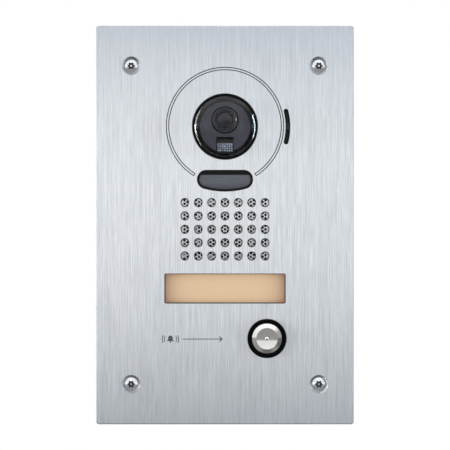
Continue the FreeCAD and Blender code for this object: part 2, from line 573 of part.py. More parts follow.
def camera_face():
    """Front half of the tilting head, with seats for lens and lamp."""
    z = CAM_Z
    inner = HEAD_R - HEAD_WALL
    shell = turned(0, z, [(0, HEAD_FACE_Y), (HEAD_R - HEAD_EDGE, HEAD_FACE_Y),
                          (HEAD_R, HEAD_FACE_Y + HEAD_EDGE), (HEAD_R, HEAD_SPLIT_Y), (inner, HEAD_SPLIT_Y),
                          (inner, HEAD_FACE_Y + 1.6), (0, HEAD_FACE_Y + 1.6)])
    boss_r, boss_x, boss_w = 2.7, 14.7, 3.0
    bosses = [Part.makeCylinder(boss_r, boss_w, Vector(s * boss_x, PIVOT_Y, z), Vector(-s, 0, 0))
              for s in (-1, 1)]
    shell = shell.fuse(bosses)
    pins = Part.makeCylinder(PIN_R, 60, Vector(-30, PIVOT_Y, z), Vector(1, 0, 0))
    lamp_seat = box(-LAMP_W / 2 - 0.4, LAMP_W / 2 + 0.4, -2, HEAD_FACE_Y + LAMP_SEAT_DEPTH,
                    z - HEAD_R - 1, z + LAMP_SEAT_TOP)
    return shell.cut([rod(0, z + LENS_UP, LENS_GROOVE_R, -2, HEAD_FACE_Y + 3), lamp_seat, pins])


def camera_back_shell():
    """Rear half of the head, with the fork that the lever's peg moves."""
    z = CAM_Z
    floor_y, bevel = HEAD_BACK_Y - HEAD_WALL, 2.0
    shell = turned(0, z, [(HEAD_R, HEAD_SPLIT_Y), (HEAD_R, HEAD_BACK_Y - bevel),
                          (HEAD_R - bevel, HEAD_BACK_Y), (0, HEAD_BACK_Y),
                          (0, floor_y), (HEAD_R - bevel - 0.4, floor_y),
                          (HEAD_R - 1.3, floor_y - 1.1), (HEAD_R - 1.3, HEAD_SPLIT_Y)])
    prong, gap = 1.5, FORK_GAP / 2
    x0, x1 = -LEVER_PEG_R_FROM_AXIS - 2.0, -LEVER_PEG_R_FROM_AXIS + 2.0
    fork = [box(x0, x1, HEAD_BACK_Y - 0.3, 16.6, z + gap, z + gap + prong),
            box(x0, x1, HEAD_BACK_Y - 0.3, 16.6, z - gap - prong, z - gap)]
    exit_slot = box(1.7, 10.3, HEAD_BACK_Y - 2, HEAD_BACK_Y + 1, z - 8.5, z - 7.5)
    return shell.fuse(fork).cut(exit_slot).removeSplitter()


def lens_ring():
    """Funnel-shaped ring round the lens, with a wall that drops into the head."""
    z = CAM_Z + LENS_UP
    return turned(0, z, [(LENS_RING_R, 0.15), (LENS_RING_R - 0.15, -0.05), (LENS_RING_R - 0.35, -0.05),
                         (LENS_RING_R - 1.45, 0.9), (LENS_GLASS_R + 0.3, 1.5), (LENS_GLASS_R, 1.7),
                         (LENS_GLASS_R, 3.0), (LENS_RING_R, 3.0)])


def lens_barrel():
    """Threaded lens barrel with its focusing rings."""
    z = CAM_Z + LENS_UP
    outer, groove, bore, seat = 5.9, 5.6, 3.0, 4.35
    front_y, back_y = 3.0, 8.3
    return turned(0, z, [(seat, front_y), (outer, front_y), (outer, 4.2), (groove, 4.2), (groove, 4.6),
                         (outer, 4.6), (outer, back_y), (bore, back_y), (bore, 4.4), (seat, 3.9)])


def lens_glass():
    """Front element, domed towards the street."""
    z = CAM_Z + LENS_UP
    r, edge_y, rise = LENS_GLASS_R - 0.1, 2.2, 1.1
    sphere_r = (r ** 2 + rise ** 2) / (2 * rise)
    ball = Part.makeSphere(sphere_r, Vector(0, edge_y - rise + sphere_r, z))
    return fused(ball.common(rod(0, z, r, 0, edge_y)), rod(0, z, r, edge_y, 3.8))


def pillow(x, y, z, half_x, half_z, rise):
    """A four-sided mound that rises towards -Y from a rectangle at y."""
    rings = []
    for shrink, height in ((1.0, 0.0), (0.55, rise)):
        turns = [(-1, -1), (1, -1), (1, 1), (-1, 1), (-1, -1)]
        rings.append(Part.makePolygon([Vector(x + i * half_x * shrink, y - height, z + j * half_z * shrink)
                                       for i, j in turns]))
    return Part.makeLoft(rings, True, True)


def lamp_lens():
    """Clear cover over the lamp, moulded as a grid of small pillows."""
    z0, z1 = CAM_Z + LAMP_BOTTOM, CAM_Z + LAMP_TOP
    face_y, gap, rise = 1.0, 0.09, 0.35
    step_x, step_z = LAMP_W / LAMP_COLUMNS, (z1 - z0) / LAMP_ROWS
    pillows = [pillow(-LAMP_W / 2 + (i + 0.5) * step_x, face_y, z0 + (j + 0.5) * step_z,
                      step_x / 2 - gap, step_z / 2 - gap, rise)
               for i in range(LAMP_COLUMNS) for j in range(LAMP_ROWS)]
    return box(-LAMP_W / 2, LAMP_W / 2, face_y, face_y + 1.4, z0, z1).fuse(pillows).removeSplitter()


def camera_ribbon():
    """Flat flexible cable from the head to the main board, with slack for the tilt."""
    x0, x1, t = 2.0, 10.0, 0.25
    exit_z, loop_y, board_y = CAM_Z - 8.0, 16.3, 18.6
    route = ((HEAD_BACK_Y - 1.0, exit_z), (loop_y, exit_z), (loop_y, exit_z - 14.0),
             (board_y, exit_z - 17.0), (board_y, 22.0))
    points = [Vector(x0, y, z) for y, z in route]
    low, high = exit_z - t / 2, exit_z + t / 2
    corners = [(x0, low), (x1, low), (x1, high), (x0, high), (x0, low)]
    section = Part.makePolygon([Vector(x, points[0].y, z) for x, z in corners])
    return rounded_path(points, 0.4).makePipeShell([section], True, False)


def tilt_lever():
    """Arm on the back wall's pivot, with a peg for the head's fork and a finger in the plate's slot."""
    z = CAM_Z
    boss = rod(0, z, LEVER_BOSS_R, LEVER_Y0, 22.6).fuse(rod(0, z, 2.2, 22.6, 24.0))
    arm = box(-10.2, SLOT_R + 0.75, LEVER_Y0, LEVER_Y1, z - 2.2, z + 2.2)
    peg = rod(-LEVER_PEG_R_FROM_AXIS, z, LEVER_PEG_R, 14.6, LEVER_Y0 + 0.5)
    finger = box(SLOT_R - 0.75, SLOT_R + 0.75, FRONT + 0.7, LEVER_Y1, z - 1.6, z + 1.6)
    shield = sheet(sector_wire(0, z, 30.4, 35.8, -20, 20), 0.25, 0.75)
    return fused(boss, arm, peg, finger, shield)


def make_camera_group():
    z = CAM_Z
    save("dome_window", dome_window())
    save("dome_seal", dome_seal())
    save("camera_bracket", camera_bracket())
    save("camera_face", camera_face())
    save("camera_back_shell", camera_back_shell())
    save("lens_ring", lens_ring())
    save("lens_barrel", lens_barrel())
    save("lens_glass", lens_glass())
    save("lamp_lens", lamp_lens())
    lamp_z = z + LAMP_TOP - 1.3
    led_half, board_y = 1.3, 4.4
    save("lamp_board", box(-4.2, 4.2, board_y, board_y + 0.8, lamp_z - 1.7, lamp_z + 3.4),
         *[box(x - led_half, x + led_half, board_y - 1, board_y, lamp_z - led_half, lamp_z + led_half)
           for x in (-1.7, 1.7)])
    board_y = 9.4
    board = rod(0, z, 12.0, board_y, board_y + 1.0).cut(box(-13, -10.5, 9, 11, z - 13, z + 13))
    sensor_z = z + LENS_UP
    save("camera_board", board, box(-3.5, 3.5, board_y - 1.0, board_y, sensor_z - 3.0, sensor_z + 3.0))
    pin_x, pin_len = 12.6, 5.8
    save("pivot_pins", *[Part.makeCylinder(PIN_R, pin_len, Vector(s * pin_x, PIVOT_Y, z), Vector(s, 0, 0))
                         for s in (-1, 1)])
    save("camera_ribbon", camera_ribbon())
    save("tilt_lever", tilt_lever())
    save("lever_clip", ring(0, z, 4.6, 2.2, 22.7, 23.4))


# ---- sensor window ---------------------------------------------------------------------------

def sensor_window():
    """Smoked lens, bowed forward about X, that shows inside the bezel."""
    lens = sheet(sense_wire(-SENSE_FRAME), FRONT - 1, 0.9)
    trim = box(-20, 20, FRONT - 2, 2, SENSE_HOOD_Z, 40)
    bow_r, crown_y, crown_z = 26.0, FRONT + 1.0, 21.5
    curve = Part.makeCylinder(bow_r, 60, Vector(-30, crown_y + bow_r, crown_z), Vector(1, 0, 0))
    return lens.cut(trim).common(curve)


def window_bezel():
    """Black frame that fills the plate's opening, deeper along its top like a small hood."""
    frame = sheet(sense_wire(-0.15), FRONT + 0.3, 0.5).fuse(sheet(sense_wire(1.7), 0.0, GASKET_T))
    above = box(-20, 20, FRONT - 2, 3, SENSE_HOOD_Z, 40)
    opening = sheet(sense_wire(-SENSE_FRAME), FRONT - 1, 2).cut(above)
    hood = sheet(sense_wire(0.3 - SENSE_FRAME), FRONT - 1, FRONT + 1.5).common(above)
    return frame.cut([opening, hood]).removeSplitter()


def make_sensor_group():
    save("window_bezel", window_bezel())
    save("sensor_window", sensor_window())
    half_w, half_h = 14.5, 4.5
    board = box(-half_w, half_w, SENSOR_BOARD_Y, SENSOR_BOARD_Y + SMALL_BOARD_T,
                SENSOR_PEG_Z - half_h, SENSOR_PEG_Z + half_h)
    pegs = [rod(x, SENSOR_PEG_Z, PEG_R + 0.05, 4, 7) for x in (-SENSOR_PEG_X, SENSOR_PEG_X)]
    save("sensor_board", board.cut(pegs))
    lamps = []
    r, z, shoulder_y = 1.5, SENSOR_PEG_Z - 0.4, 3.0
    for x in (-5.5, 0.0, 5.5):
        ball = Part.makeSphere(r, Vector(x, shoulder_y, z))
        dome = ball.common(rod(x, z, r + 1, shoulder_y - 2, shoulder_y))
        lamps.append(fused(dome, rod(x, z, r, shoulder_y, SENSOR_BOARD_Y)))
    save("light_sensors", *lamps)


# ---- speaker and microphone ------------------------------------------------------------------

def speaker_mesh():
    """Perforated sheet behind the plate's sound holes."""
    holes = []
    columns, rows = int(MESH_W / 2 / MESH_DX), int(MESH_H / 2 / MESH_DZ) + 1
    for i in range(-columns, columns + 1):
        for j in range(-rows, rows + 1):
            x, z = i * MESH_DX, (j + 0.5 * (i % 2)) * MESH_DZ
            if abs(x) < MESH_W / 2 - 1 and abs(z) < MESH_H / 2 - 1:
                holes.append(circle_wire(x, GRILLE_Z + z, MESH_HOLE_R))
    outline = rounded_wire(0, GRILLE_Z, MESH_W, MESH_H, 1.5)
    face = Part.Face([outline] + holes)
    return face.extrude(Vector(0, MESH_T, 0))


def speaker_frame():
    """Pressed basket with its front pole plate, open between its legs."""
    z = GRILLE_Z
    lip_in, pole_in = 15.2, 4.1
    basket = turned(0, z, [(lip_in, CASE_FLOOR_Y), (SPEAKER_R, CASE_FLOOR_Y), (SPEAKER_R, SPEAKER_SEAT_Y),
                           (16.0, SPEAKER_SEAT_Y), (15.4, 7.1), (8.5, 9.8), (pole_in, 9.8), (pole_in, 9.0),
                           (8.0, 9.0), (14.6, 6.5), (lip_in, SPEAKER_SEAT_Y)])
    windows = [rod(*on_circle(0, z, 11.3, 60 * k + 30), 2.2, 5.0, 10.0) for k in range(6)]
    return basket.cut(windows)


def speaker_cone():
    """Paper cone with its dust cap."""
    z = GRILLE_Z
    cone_part = turned(0, z, [(3.65, 7.7), (13.3, 4.65), (13.3, 4.95), (3.9, 8.0), (3.65, 8.0)])
    cap_r, rise = 4.6, 1.3
    outer_r = (cap_r ** 2 + rise ** 2) / (2 * rise)
    y_top = 6.1
    centre = Vector(0, y_top + outer_r, z)
    shell = Part.makeSphere(outer_r, centre).cut(Part.makeSphere(outer_r - 0.3, centre))
    shell = shell.common(rod(0, z, cap_r, y_top - 1, y_top + rise + 0.2))
    return cone_part.fuse(shell).removeSplitter()


def speaker_surround():
    """Rolled flexible edge between cone and basket."""
    z = GRILLE_Z
    middle, r_out, r_in, base_y = 14.0, 0.95, 0.7, 4.6

    def half_circle(r):
        a, b, c = ((middle - r, base_y), (middle, base_y - r), (middle + r, base_y))
        return Part.Arc(*[Vector(q, y, 0) for q, y in (a, b, c)]).toShape()

    ends = [Part.makeLine(Vector(middle + side * r_out, base_y, 0), Vector(middle + side * r_in, base_y, 0))
            for side in (-1, 1)]
    roll = turned_edges(0, z, [half_circle(r_out), half_circle(r_in)] + ends)
    lip = ring(0, z, 15.05, middle + r_in, base_y - (r_out - r_in), base_y)
    return roll.fuse(lip).removeSplitter()


def mic_boot():
    """Rubber boot that ties the microphone to one sound hole."""
    tube_in, tube_out, cup_in, cup_out = 0.9, 2.4, 2.3, MIC_HOLE_R - 0.05
    return turned(MIC_X, MIC_Z, [(tube_in, MESH_T), (tube_out, MESH_T), (tube_out, 2.2), (cup_out, 2.2),
                                 (cup_out, 6.0), (0.8, 6.0), (0.8, 5.0), (cup_in, 5.0), (cup_in, 2.5),
                                 (tube_in, 2.5)])


def make_sound_group():
    z = GRILLE_Z
    save("speaker_mesh", speaker_mesh())
    save("speaker_frame", speaker_frame())
    save("speaker_magnet", ring(0, z, 8.5, 4.6, 9.8, 13.2))
    save("speaker_yoke", fused(rod(0, z, 8.5, 13.2, 14.4), rod(0, z, 3.4, 9.0, 13.2)))
    save("speaker_surround", speaker_surround())
    save("speaker_cone", speaker_cone())
    save("voice_coil", ring(0, z, 3.9, 3.65, 8.0, 11.2))
    route = ((14.6, 8.6, -6.0), (17.5, 9.4, -7.0), (20.5, 12.0, -8.0), (21.5, 15.0, -7.5),
             (21.5, 18.0, -7.5))
    save("speaker_leads", *[round_wire([(x + side, y, z + dz) for x, y, dz in route], 0.5)
                            for side in (0.0, 1.5)])
    save("mic_boot", mic_boot())
    pins = [rod(MIC_X + dx, MIC_Z, 0.22, 4.9, 6.8) for dx in (-0.45, 0.45)]
    save("microphone", fused(rod(MIC_X, MIC_Z, 2.25, 2.55, 4.9), *pins))


# ---- name plate ------------------------------------------------------------------------------

def make_name_group():
    z = NAME_Z
    opening = rounded_wire(0, z, NAME_W - 0.3, NAME_H - 0.3, NAME_CORNER_R - 0.1)
    pane = sheet(opening, FRONT + NAME_RECESS, 0.3)
    flange = sheet(rounded_wire(0, z, NAME_FLANGE_W, NAME_FLANGE_H, 0.8), 0, GASKET_T)
    save("name_window", pane.fuse(flange).removeSplitter())
    card_y = GASKET_T + CARD_GAP
    guide_y = card_y + CARD_T
    low, high = z - CARD_H / 2, z + CARD_H / 2
    save("name_card", box(-CARD_W / 2, CARD_W / 2, card_y, guide_y, low, high))
    save("light_guide", box(-CARD_W / 2, CARD_W / 2, guide_y, guide_y + GUIDE_T, low, high))
    board = box(-37.5, 37.5, NAME_BOARD_Y, NAME_BOARD_Y + SMALL_BOARD_T, z - 7.0, z + 7.0)
    save("backlight_board", board.cut([rod(x, z, PEG_R + 0.05, 6, 8) for x in (-NAME_PEG_X, NAME_PEG_X)]))
    save("backlight_leds", *[box(x - 1.5, x + 1.5, NAME_BOARD_Y - 1.3, NAME_BOARD_Y, z - 1.0, z + 1.0)
                             for x in range(-25, 26, 10)])


# ---- call button -----------------------------------------------------------------------------

def button_bezel():
    """Barrel through the plate, with a rounded black rim in front and a floor for the spring."""
    middle, half = (BEZEL_R + BEZEL_BORE_R) / 2, (BEZEL_R - BEZEL_BORE_R) / 2
    rim_y, crest_y = FRONT, FRONT - 0.9
    v = [Vector(r, y, 0) for r, y in (
        (BEZEL_R, rim_y), (BEZEL_BARREL_R, rim_y), (BEZEL_BARREL_R, 10.0), (STEM_R + 0.05, 10.0),
        (STEM_R + 0.05, 8.0), (7.2, 8.0), (7.2, 3.5), (BEZEL_BORE_R, 3.5), (BEZEL_BORE_R, rim_y - 0.3))]
    edges = [Part.makeLine(p, q) for p, q in zip(v, v[1:])]
    edges.append(Part.Arc(v[-1], Vector(middle - half * 0.45, crest_y + 0.08, 0),
                          Vector(middle, crest_y, 0)).toShape())
    edges.append(Part.Arc(Vector(middle, crest_y, 0), Vector(middle + half * 0.72, crest_y + 0.25, 0),
                          v[0]).toShape())
    return turned_edges(BUTTON_X, BUTTON_Z, edges)


def button_cap():
    """Turned metal cap: a sloping rim round a shallow dish with a pip at its centre."""
    side_y, dish, inside_y = -3.3, 0.75, -2.6
    groove_r, groove_y = 7.35, 0.7
    flat = CAP_FLAT_R
    outline = ((flat, CAP_FRONT_Y), (CAP_R - 0.3, side_y - 0.15), (CAP_R, side_y + 0.15),
               (CAP_R, -groove_y), (groove_r, -groove_y), (groove_r, groove_y), (CAP_R, groove_y), (CAP_R, 2.0), (6.5, 2.0),
               (6.5, inside_y), (0, inside_y))
    v = [Vector(r, y, 0) for r, y in outline]
    edges = [Part.makeLine(p, q) for p, q in zip(v, v[1:])]
    pip_r, pip_rise = 1.0, 0.45
    dish_r = (flat ** 2 + dish ** 2) / (2 * dish)
    centre_y = CAP_FRONT_Y + dish - dish_r

    def on_dish(r):
        return Vector(r, centre_y + math.sqrt(dish_r ** 2 - r ** 2), 0)

    tip = Vector(0, on_dish(pip_r).y - pip_rise, 0)
    shoulder = Vector(pip_r * 0.62, tip.y + pip_rise * 0.3, 0)
    edges += [Part.Arc(v[0], on_dish(flat * 0.55), on_dish(pip_r)).toShape(),
              Part.Arc(on_dish(pip_r), shoulder, tip).toShape(),
              Part.makeLine(tip, v[-1])]
    return turned_edges(BUTTON_X, BUTTON_Z, edges)


def make_button_group():
    x, z = BUTTON_X, BUTTON_Z
    save("button_bezel", button_bezel())
    nut = hexagon(x, z, 22.0, CASE_FLOOR_Y, CASE_FLOOR_Y + 3.0)
    save("bezel_nut", nut.cut(rod(x, z, BEZEL_BARREL_R + 0.02, 2, 7)))
    save("button_cap", button_cap())
    cap_floor, clip_y0, clip_y1, clip_groove_r = -2.6, 10.1, 10.9, 2.0
    stem = fused(rod(x, z, STEM_R, cap_floor + 1, clip_y0), rod(x, z, clip_groove_r, clip_y0, clip_y1),
                 rod(x, z, STEM_R, clip_y1, STEM_END_Y), rod(x, z, 3.4, cap_floor, cap_floor + 1))
    save("button_stem", stem)
    save("stem_clip", ring(x, z, 4.2, clip_groove_r, clip_y0, clip_y1))
    save("button_o_ring", Part.makeTorus(7.79, 0.43, Vector(x, 0, z), Vector(0, 1, 0)))
    save("button_spring", helix_spring(x, z, 4.7, 0.35, -2.58, 7.98, 6))
    switch = box(x - 6.4, x + 6.4, STEM_END_Y + BUTTON_TRAVEL + 0.2, BOARD_Y, z - 2.9, z + 2.9)
    save("call_switch", switch.cut(rod(x, z, 1.0, 10, 19.4)))
    save("switch_plunger", rod(x, z, 0.95, STEM_END_Y, 17.4))


# ---- electronics -----------------------------------------------------------------------------

def socket(x0, x1, y0, y1, z0, z1):
    """A connector shell, open towards -Y."""
    return box(x0, x1, y0, y1, z0, z1).cut(box(x0 + 0.6, x1 - 0.6, y0 - 1, y1 - 1.0, z0 + 0.6, z1 - 0.6))


def terminal_block():
    """Two-way screw terminal. Wires enter from below and the screws face backwards."""
    x0, z0, z1 = TERM_X - TERM_W / 2, TERM_Z - TERM_H / 2, TERM_Z + TERM_H / 2
    block = box(x0, x0 + TERM_W, BOARD_BACK_Y, TERM_BACK_Y, z0, z1)
    block = block.cut(box(x0 - 1, x0 + TERM_W + 1, TERM_WIRE_Y + 3.5, TERM_BACK_Y + 1, z0 - 1, z0 + 2.2))
    cuts = []
    for side in (-1, 1):
        x = TERM_X + side * TERM_PITCH / 2
        mouth = Vector(x, TERM_WIRE_Y, z0)
        cuts.append(Part.makeCylinder(TERM_WIRE_R, TERM_WIRE_LEN, mouth, Vector(0, 0, 1)))
        cuts.append(rod(x, TERM_Z + 1.5, 2.1, TERM_WIRE_Y + 1.8, TERM_BACK_Y + 1))
    cuts.append(box(TERM_X - 0.4, TERM_X + 0.4, TERM_BACK_Y - 3, TERM_BACK_Y + 1, z0 - 1, z1 + 1))
    return block.cut(cuts)


def terminal_screw(x):
    """Clamping screw with a straight slot."""
    z, y0, y1 = TERM_Z + 1.5, TERM_WIRE_Y + 1.85, TERM_BACK_Y - 0.8
    body = fused(rod(x, z, 1.5, y0, y1 - 1.6), rod(x, z, 2.05, y1 - 1.6, y1))
    return body.cut(box(x - 3, x + 3, y1 - 0.8, y1 + 1, z - 0.3, z + 0.3))


def make_board_group():
    board = sheet(rounded_wire(0, -25.5, 71.0, 99.0, 1.5), BOARD_Y, BOARD_BACK_Y)
    save("main_board", board.cut([rod(x, z, 1.2, 19, 23) for x, z in BOARD_SCREWS]))
    chips = [(12, -8, 14, 14, 1.6), (-14, -6, 12, 9, 1.6), (-12, 12, 7, 7, 1.2), (14, 12, 8, 5, 1.4),
             (18, -34, 10, 6, 1.5), (-8, -30, 6, 5, 1.4), (2, -66, 6, 4, 1.4)]
    save("board_chips", *[box(x - w / 2, x + w / 2, BOARD_BACK_Y, BOARD_BACK_Y + t, z - h / 2, z + h / 2)
                          for x, z, w, h, t in chips])
    cans = [(-24, -54, 4.0, 10.5), (-14, -54, 3.1, 9.0), (-5, -53, 3.1, 9.0), (-24, -65, 3.1, 8.0),
            (29, -19, 2.5, 7.0)]
    save("board_capacitors", *[fused(rod(x, z, r, BOARD_Y - h + 0.4, BOARD_Y),
                                     cone(x, z, r - 0.4, BOARD_Y - h, r, BOARD_Y - h + 0.4))
                               for x, z, r, h in cans])
    save("board_connectors", socket(0.5, 11.5, 17.6, BOARD_Y, 18.0, 22.0),
         socket(19.5, 25.0, 16.0, BOARD_Y, -12.5, -7.0),
         socket(-27.0, -21.5, 14.5, BOARD_Y, -30.0, -24.0),
         box(-3.0, 3.0, 12.0, BOARD_Y, -43.0, -38.0))
    save("line_transformer", box(-16.0, -4.0, 11.0, BOARD_Y, -72.0, -62.0))
    save("terminal_block", terminal_block())
    save("terminal_screws", *[terminal_screw(TERM_X + s * TERM_PITCH / 2) for s in (-1, 1)])


def main():
    os.makedirs("parts", exist_ok=True)
    make_plate_group()
    make_housing_group()
    make_camera_group()
    make_sensor_group()
    make_sound_group()
    make_name_group()
    make_button_group()
    make_board_group()


main()
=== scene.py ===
"""Looks of a flush door intercom panel: brushed plate, domed camera, lit name window and call button."""
import math

import bmesh
import bpy
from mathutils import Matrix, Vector


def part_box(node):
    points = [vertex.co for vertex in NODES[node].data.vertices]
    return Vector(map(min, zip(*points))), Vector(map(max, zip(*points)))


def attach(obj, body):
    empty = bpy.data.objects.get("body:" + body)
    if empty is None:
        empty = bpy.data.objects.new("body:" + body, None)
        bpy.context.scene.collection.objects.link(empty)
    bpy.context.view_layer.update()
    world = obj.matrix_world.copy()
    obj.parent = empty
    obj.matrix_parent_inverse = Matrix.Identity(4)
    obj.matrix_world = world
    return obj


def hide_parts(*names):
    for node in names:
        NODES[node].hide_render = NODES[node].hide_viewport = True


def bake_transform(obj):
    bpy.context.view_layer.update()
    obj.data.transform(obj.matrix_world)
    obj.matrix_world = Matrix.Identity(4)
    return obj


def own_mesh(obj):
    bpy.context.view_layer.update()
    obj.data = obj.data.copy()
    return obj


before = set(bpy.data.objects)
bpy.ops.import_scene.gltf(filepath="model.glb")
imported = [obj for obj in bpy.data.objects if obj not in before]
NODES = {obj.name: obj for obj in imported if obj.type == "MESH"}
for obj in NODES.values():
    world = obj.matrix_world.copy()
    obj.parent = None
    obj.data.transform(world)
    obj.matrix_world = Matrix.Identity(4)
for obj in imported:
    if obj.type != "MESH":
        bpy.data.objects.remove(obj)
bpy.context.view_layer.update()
MM = 0.001

# ---- places worked out from the frame --------------------------------------------------------


def middle(node):
    low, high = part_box(node)
    return (low + high) / 2


def size(node):
    low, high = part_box(node)
    return high - low


PLATE_LOW, PLATE_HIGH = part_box("front_plate")
FRONT_Y = PLATE_LOW.y
# the height of the plate's painted bright band, as a share of its half height; painted shade darkens the
# plate above and below it
PAINTED_LIGHT_HEIGHT = -0.10
BUTTON = middle("button_cap")
# the sound holes' spacing, and the height of their middle row
GRILLE_PITCH, GRILLE_Z = 7.0 * MM, -2.3 * MM
# the depth at which painted shade starts in the fixing screws' sockets
SOCKET_Y = FRONT_Y + 1.35 * MM
# how much of the name card's half width and half height shows through the plate; painted shadow darkens the
# card just inside these edges
CARD_SHOWS_X, CARD_SHOWS_Z = 0.9636, 0.868

# ---- shader building blocks ------------------------------------------------------------------


def new_node(tree, kind, inputs, properties):
    """A node with each input linked to a socket or set to a value."""
    node = tree.nodes.new(kind)
    for key, value in properties.items():
        setattr(node, key, value)
    for key, value in (inputs or {}).items():
        if isinstance(value, bpy.types.NodeSocket):
            tree.links.new(value, node.inputs[key])
        else:
            node.inputs[key].default_value = value
    return node


class Shader:
    """A node material with one Principled shader. Patterns are laid out in millimetres."""

    def __init__(self, name, base, **sockets):
        self.material = bpy.data.materials.new(name)
        self.material.use_nodes = True
        self.tree = self.material.node_tree
        self.nodes = self.tree.nodes
        self.nodes.clear()
        self.out = self.nodes.new("ShaderNodeOutputMaterial")
        self.main = self.nodes.new("ShaderNodeBsdfPrincipled")
        self.link(self.main.outputs["BSDF"], self.out.inputs["Surface"])
        self.set("Base Color", base)
        for socket, value in sockets.items():
            self.set(socket.replace("_", " ").title().replace("Ior", "IOR"), value)
        self.position = self.nodes.new("ShaderNodeTexCoord").outputs["Object"]

    def link(self, a, b):
        self.tree.links.new(a, b)

    def set(self, socket, value):
        if isinstance(value, bpy.types.NodeSocket):
            self.link(value, self.main.inputs[socket])
        elif isinstance(value, (tuple, list)) and len(value) == 3:
            self.main.inputs[socket].default_value = (*value, 1.0)
        else:
            self.main.inputs[socket].default_value = value

    def add(self, kind, inputs=None, **properties):
        return new_node(self.tree, kind, inputs, properties)

    def space(self, per_mm):
        """Coordinates that run this many pattern units per millimetre along X, Y and Z."""
        scale = [1000 * s for s in (per_mm if isinstance(per_mm, (tuple, list)) else (per_mm,) * 3)]
        return self.add("ShaderNodeMapping", {"Vector": self.position, "Scale": scale}).outputs["Vector"]

    def noise(self, per_mm, detail=3.0, roughness=0.55):
        return self.add("ShaderNodeTexNoise", {"Vector": self.space(per_mm), "Scale": 1.0, "Detail": detail,
                                               "Roughness": roughness}).outputs["Fac"]

    def math(self, operation, a, b=0.0, clamp=False):
        return self.add("ShaderNodeMath", {0: a, 1: b}, operation=operation, use_clamp=clamp).outputs[0]

    def fit(self, value, low, high, to_low=0.0, to_high=1.0):
        """Maps low..high to to_low..to_high, and holds the ends."""
        return self.add("ShaderNodeMapRange", {"Value": value, "From Min": low, "From Max": high,
                                               "To Min": to_low, "To Max": to_high}).outputs["Result"]

    def blend(self, factor, a, b, mode="MIX"):
        node = self.nodes.new("ShaderNodeMix")
        node.data_type = "RGBA"
        node.blend_type = mode
        node.inputs[0].default_value = 1.0
        for socket, value in ((node.inputs[0], factor), (node.inputs[6], a), (node.inputs[7], b)):
            if isinstance(value, bpy.types.NodeSocket):
                self.link(value, socket)
            else:
                socket.default_value = (*value, 1.0) if isinstance(value, (tuple, list)) else value
        return node.outputs[2]

    def bump(self, height, depth_mm, strength=1.0, under=None):
        inputs = {"Height": height, "Distance": depth_mm * MM, "Strength": strength}
        if under is not None:
            inputs["Normal"] = under
        return self.add("ShaderNodeBump", inputs).outputs["Normal"]

    def axis(self, name):
        """One coordinate of the position, in metres."""
        return self.add("ShaderNodeSeparateXYZ", {"Vector": self.position}).outputs[name]

    def tangent(self, direction):
        self.link(self.add("ShaderNodeTangent", direction_type="RADIAL", axis=direction).outputs["Tangent"],
                  self.main.inputs["Tangent"])


def grey(v, tint=0.0):
    """A neutral colour, or a slightly blue one."""
    return (v * (1 - tint), v, v * (1 + tint))


# ---- metals ----------------------------------------------------------------------------------


def brushed_plate():
    """Steel brushed up and down, with dark engraved lines, a painted bright band across its middle, and
    painted shade towards its top and bottom, on its sloped faces and on the walls of its openings.
    """
    s = Shader("brushed_plate", grey(0.6), metallic=1.0, roughness=0.44, anisotropic=0.9)
    s.tangent("Z")
    hair = s.noise((9.0, 9.0, 0.09), 3.0, 0.6)
    lines = s.noise((3.4, 3.4, 0.030), 3.0, 0.65)
    bands = s.noise((0.22, 0.22, 0.005), 2.0, 0.5)
    smudge = s.noise(0.03, 4.0, 0.6)
    tone = s.math("ADD", s.fit(hair, 0.3, 0.7, -0.20, 0.20), s.fit(lines, 0.3, 0.7, -0.18, 0.18))
    tone = s.math("ADD", tone, s.fit(bands, 0.3, 0.7, -0.02, 0.02))
    steel = s.blend(s.fit(tone, -0.24, 0.24), (0.560, 0.570, 0.588), (0.925, 0.935, 0.945))
    # painted shade: the plate turns darker and bluer towards its top and bottom, away from its painted bright
    # band
    height = s.math("DIVIDE", s.axis("Z"), PLATE_HIGH.z)
    rise = s.math("SUBTRACT", height, PAINTED_LIGHT_HEIGHT)
    fall = s.math("MULTIPLY", rise, rise)
    steel = s.blend(s.math("MULTIPLY", fall, 0.42, clamp=True), steel, (0.31, 0.345, 0.40))
    # dark, non-metallic faces that look at the street from below the front: the floors of the engraved lines,
    # and painted shade on ledges inside the openings
    engraved, edge = 0.15 * MM, 3 * MM
    low = s.math("GREATER_THAN", s.axis("Y"), FRONT_Y + engraved)
    normal = s.add("ShaderNodeNewGeometry").outputs["True Normal"]
    facing = s.add("ShaderNodeSeparateXYZ", {"Vector": normal}).outputs["Y"]
    groove = s.math("MULTIPLY", low, s.math("LESS_THAN", facing, -0.9))
    # faces that slope away from the street get painted shade and more roughness; the plate's back gets
    # neither
    sideways = s.math("LESS_THAN", facing, 0.5)
    slope = s.math("MULTIPLY", sideways, s.fit(facing, -0.96, -0.80))
    steel = s.blend(s.math("MULTIPLY", slope, 0.52), steel, (0.27, 0.28, 0.30))
    # painted shade on the walls of the openings, but not on the plate's own edges
    inner = s.math("MULTIPLY", s.math("LESS_THAN", s.math("ABSOLUTE", s.axis("X")), PLATE_HIGH.x - edge),
                   s.math("LESS_THAN", s.math("ABSOLUTE", s.axis("Z")), PLATE_HIGH.z - edge))
    steep = s.fit(facing, -0.6, -0.3, 0.0, 0.9)
    wall = s.math("MULTIPLY", s.math("MULTIPLY", inner, sideways), steep)
    steel = s.blend(wall, steel, (0.03, 0.031, 0.034))
    s.set("Base Color", s.blend(groove, steel, (0.06, 0.063, 0.07)))
    s.set("Metallic", s.math("SUBTRACT", 1.0, groove))
    rough = s.math("ADD", s.fit(lines, 0.3, 0.7, 0.41, 0.48), s.fit(smudge, 0.35, 0.7, 0.0, 0.04))
    s.set("Roughness", s.math("ADD", rough, s.math("MULTIPLY", slope, 0.15)))
    fine = s.bump(hair, 0.004)
    s.set("Normal", s.bump(lines, 0.004, under=fine))
    return s.material


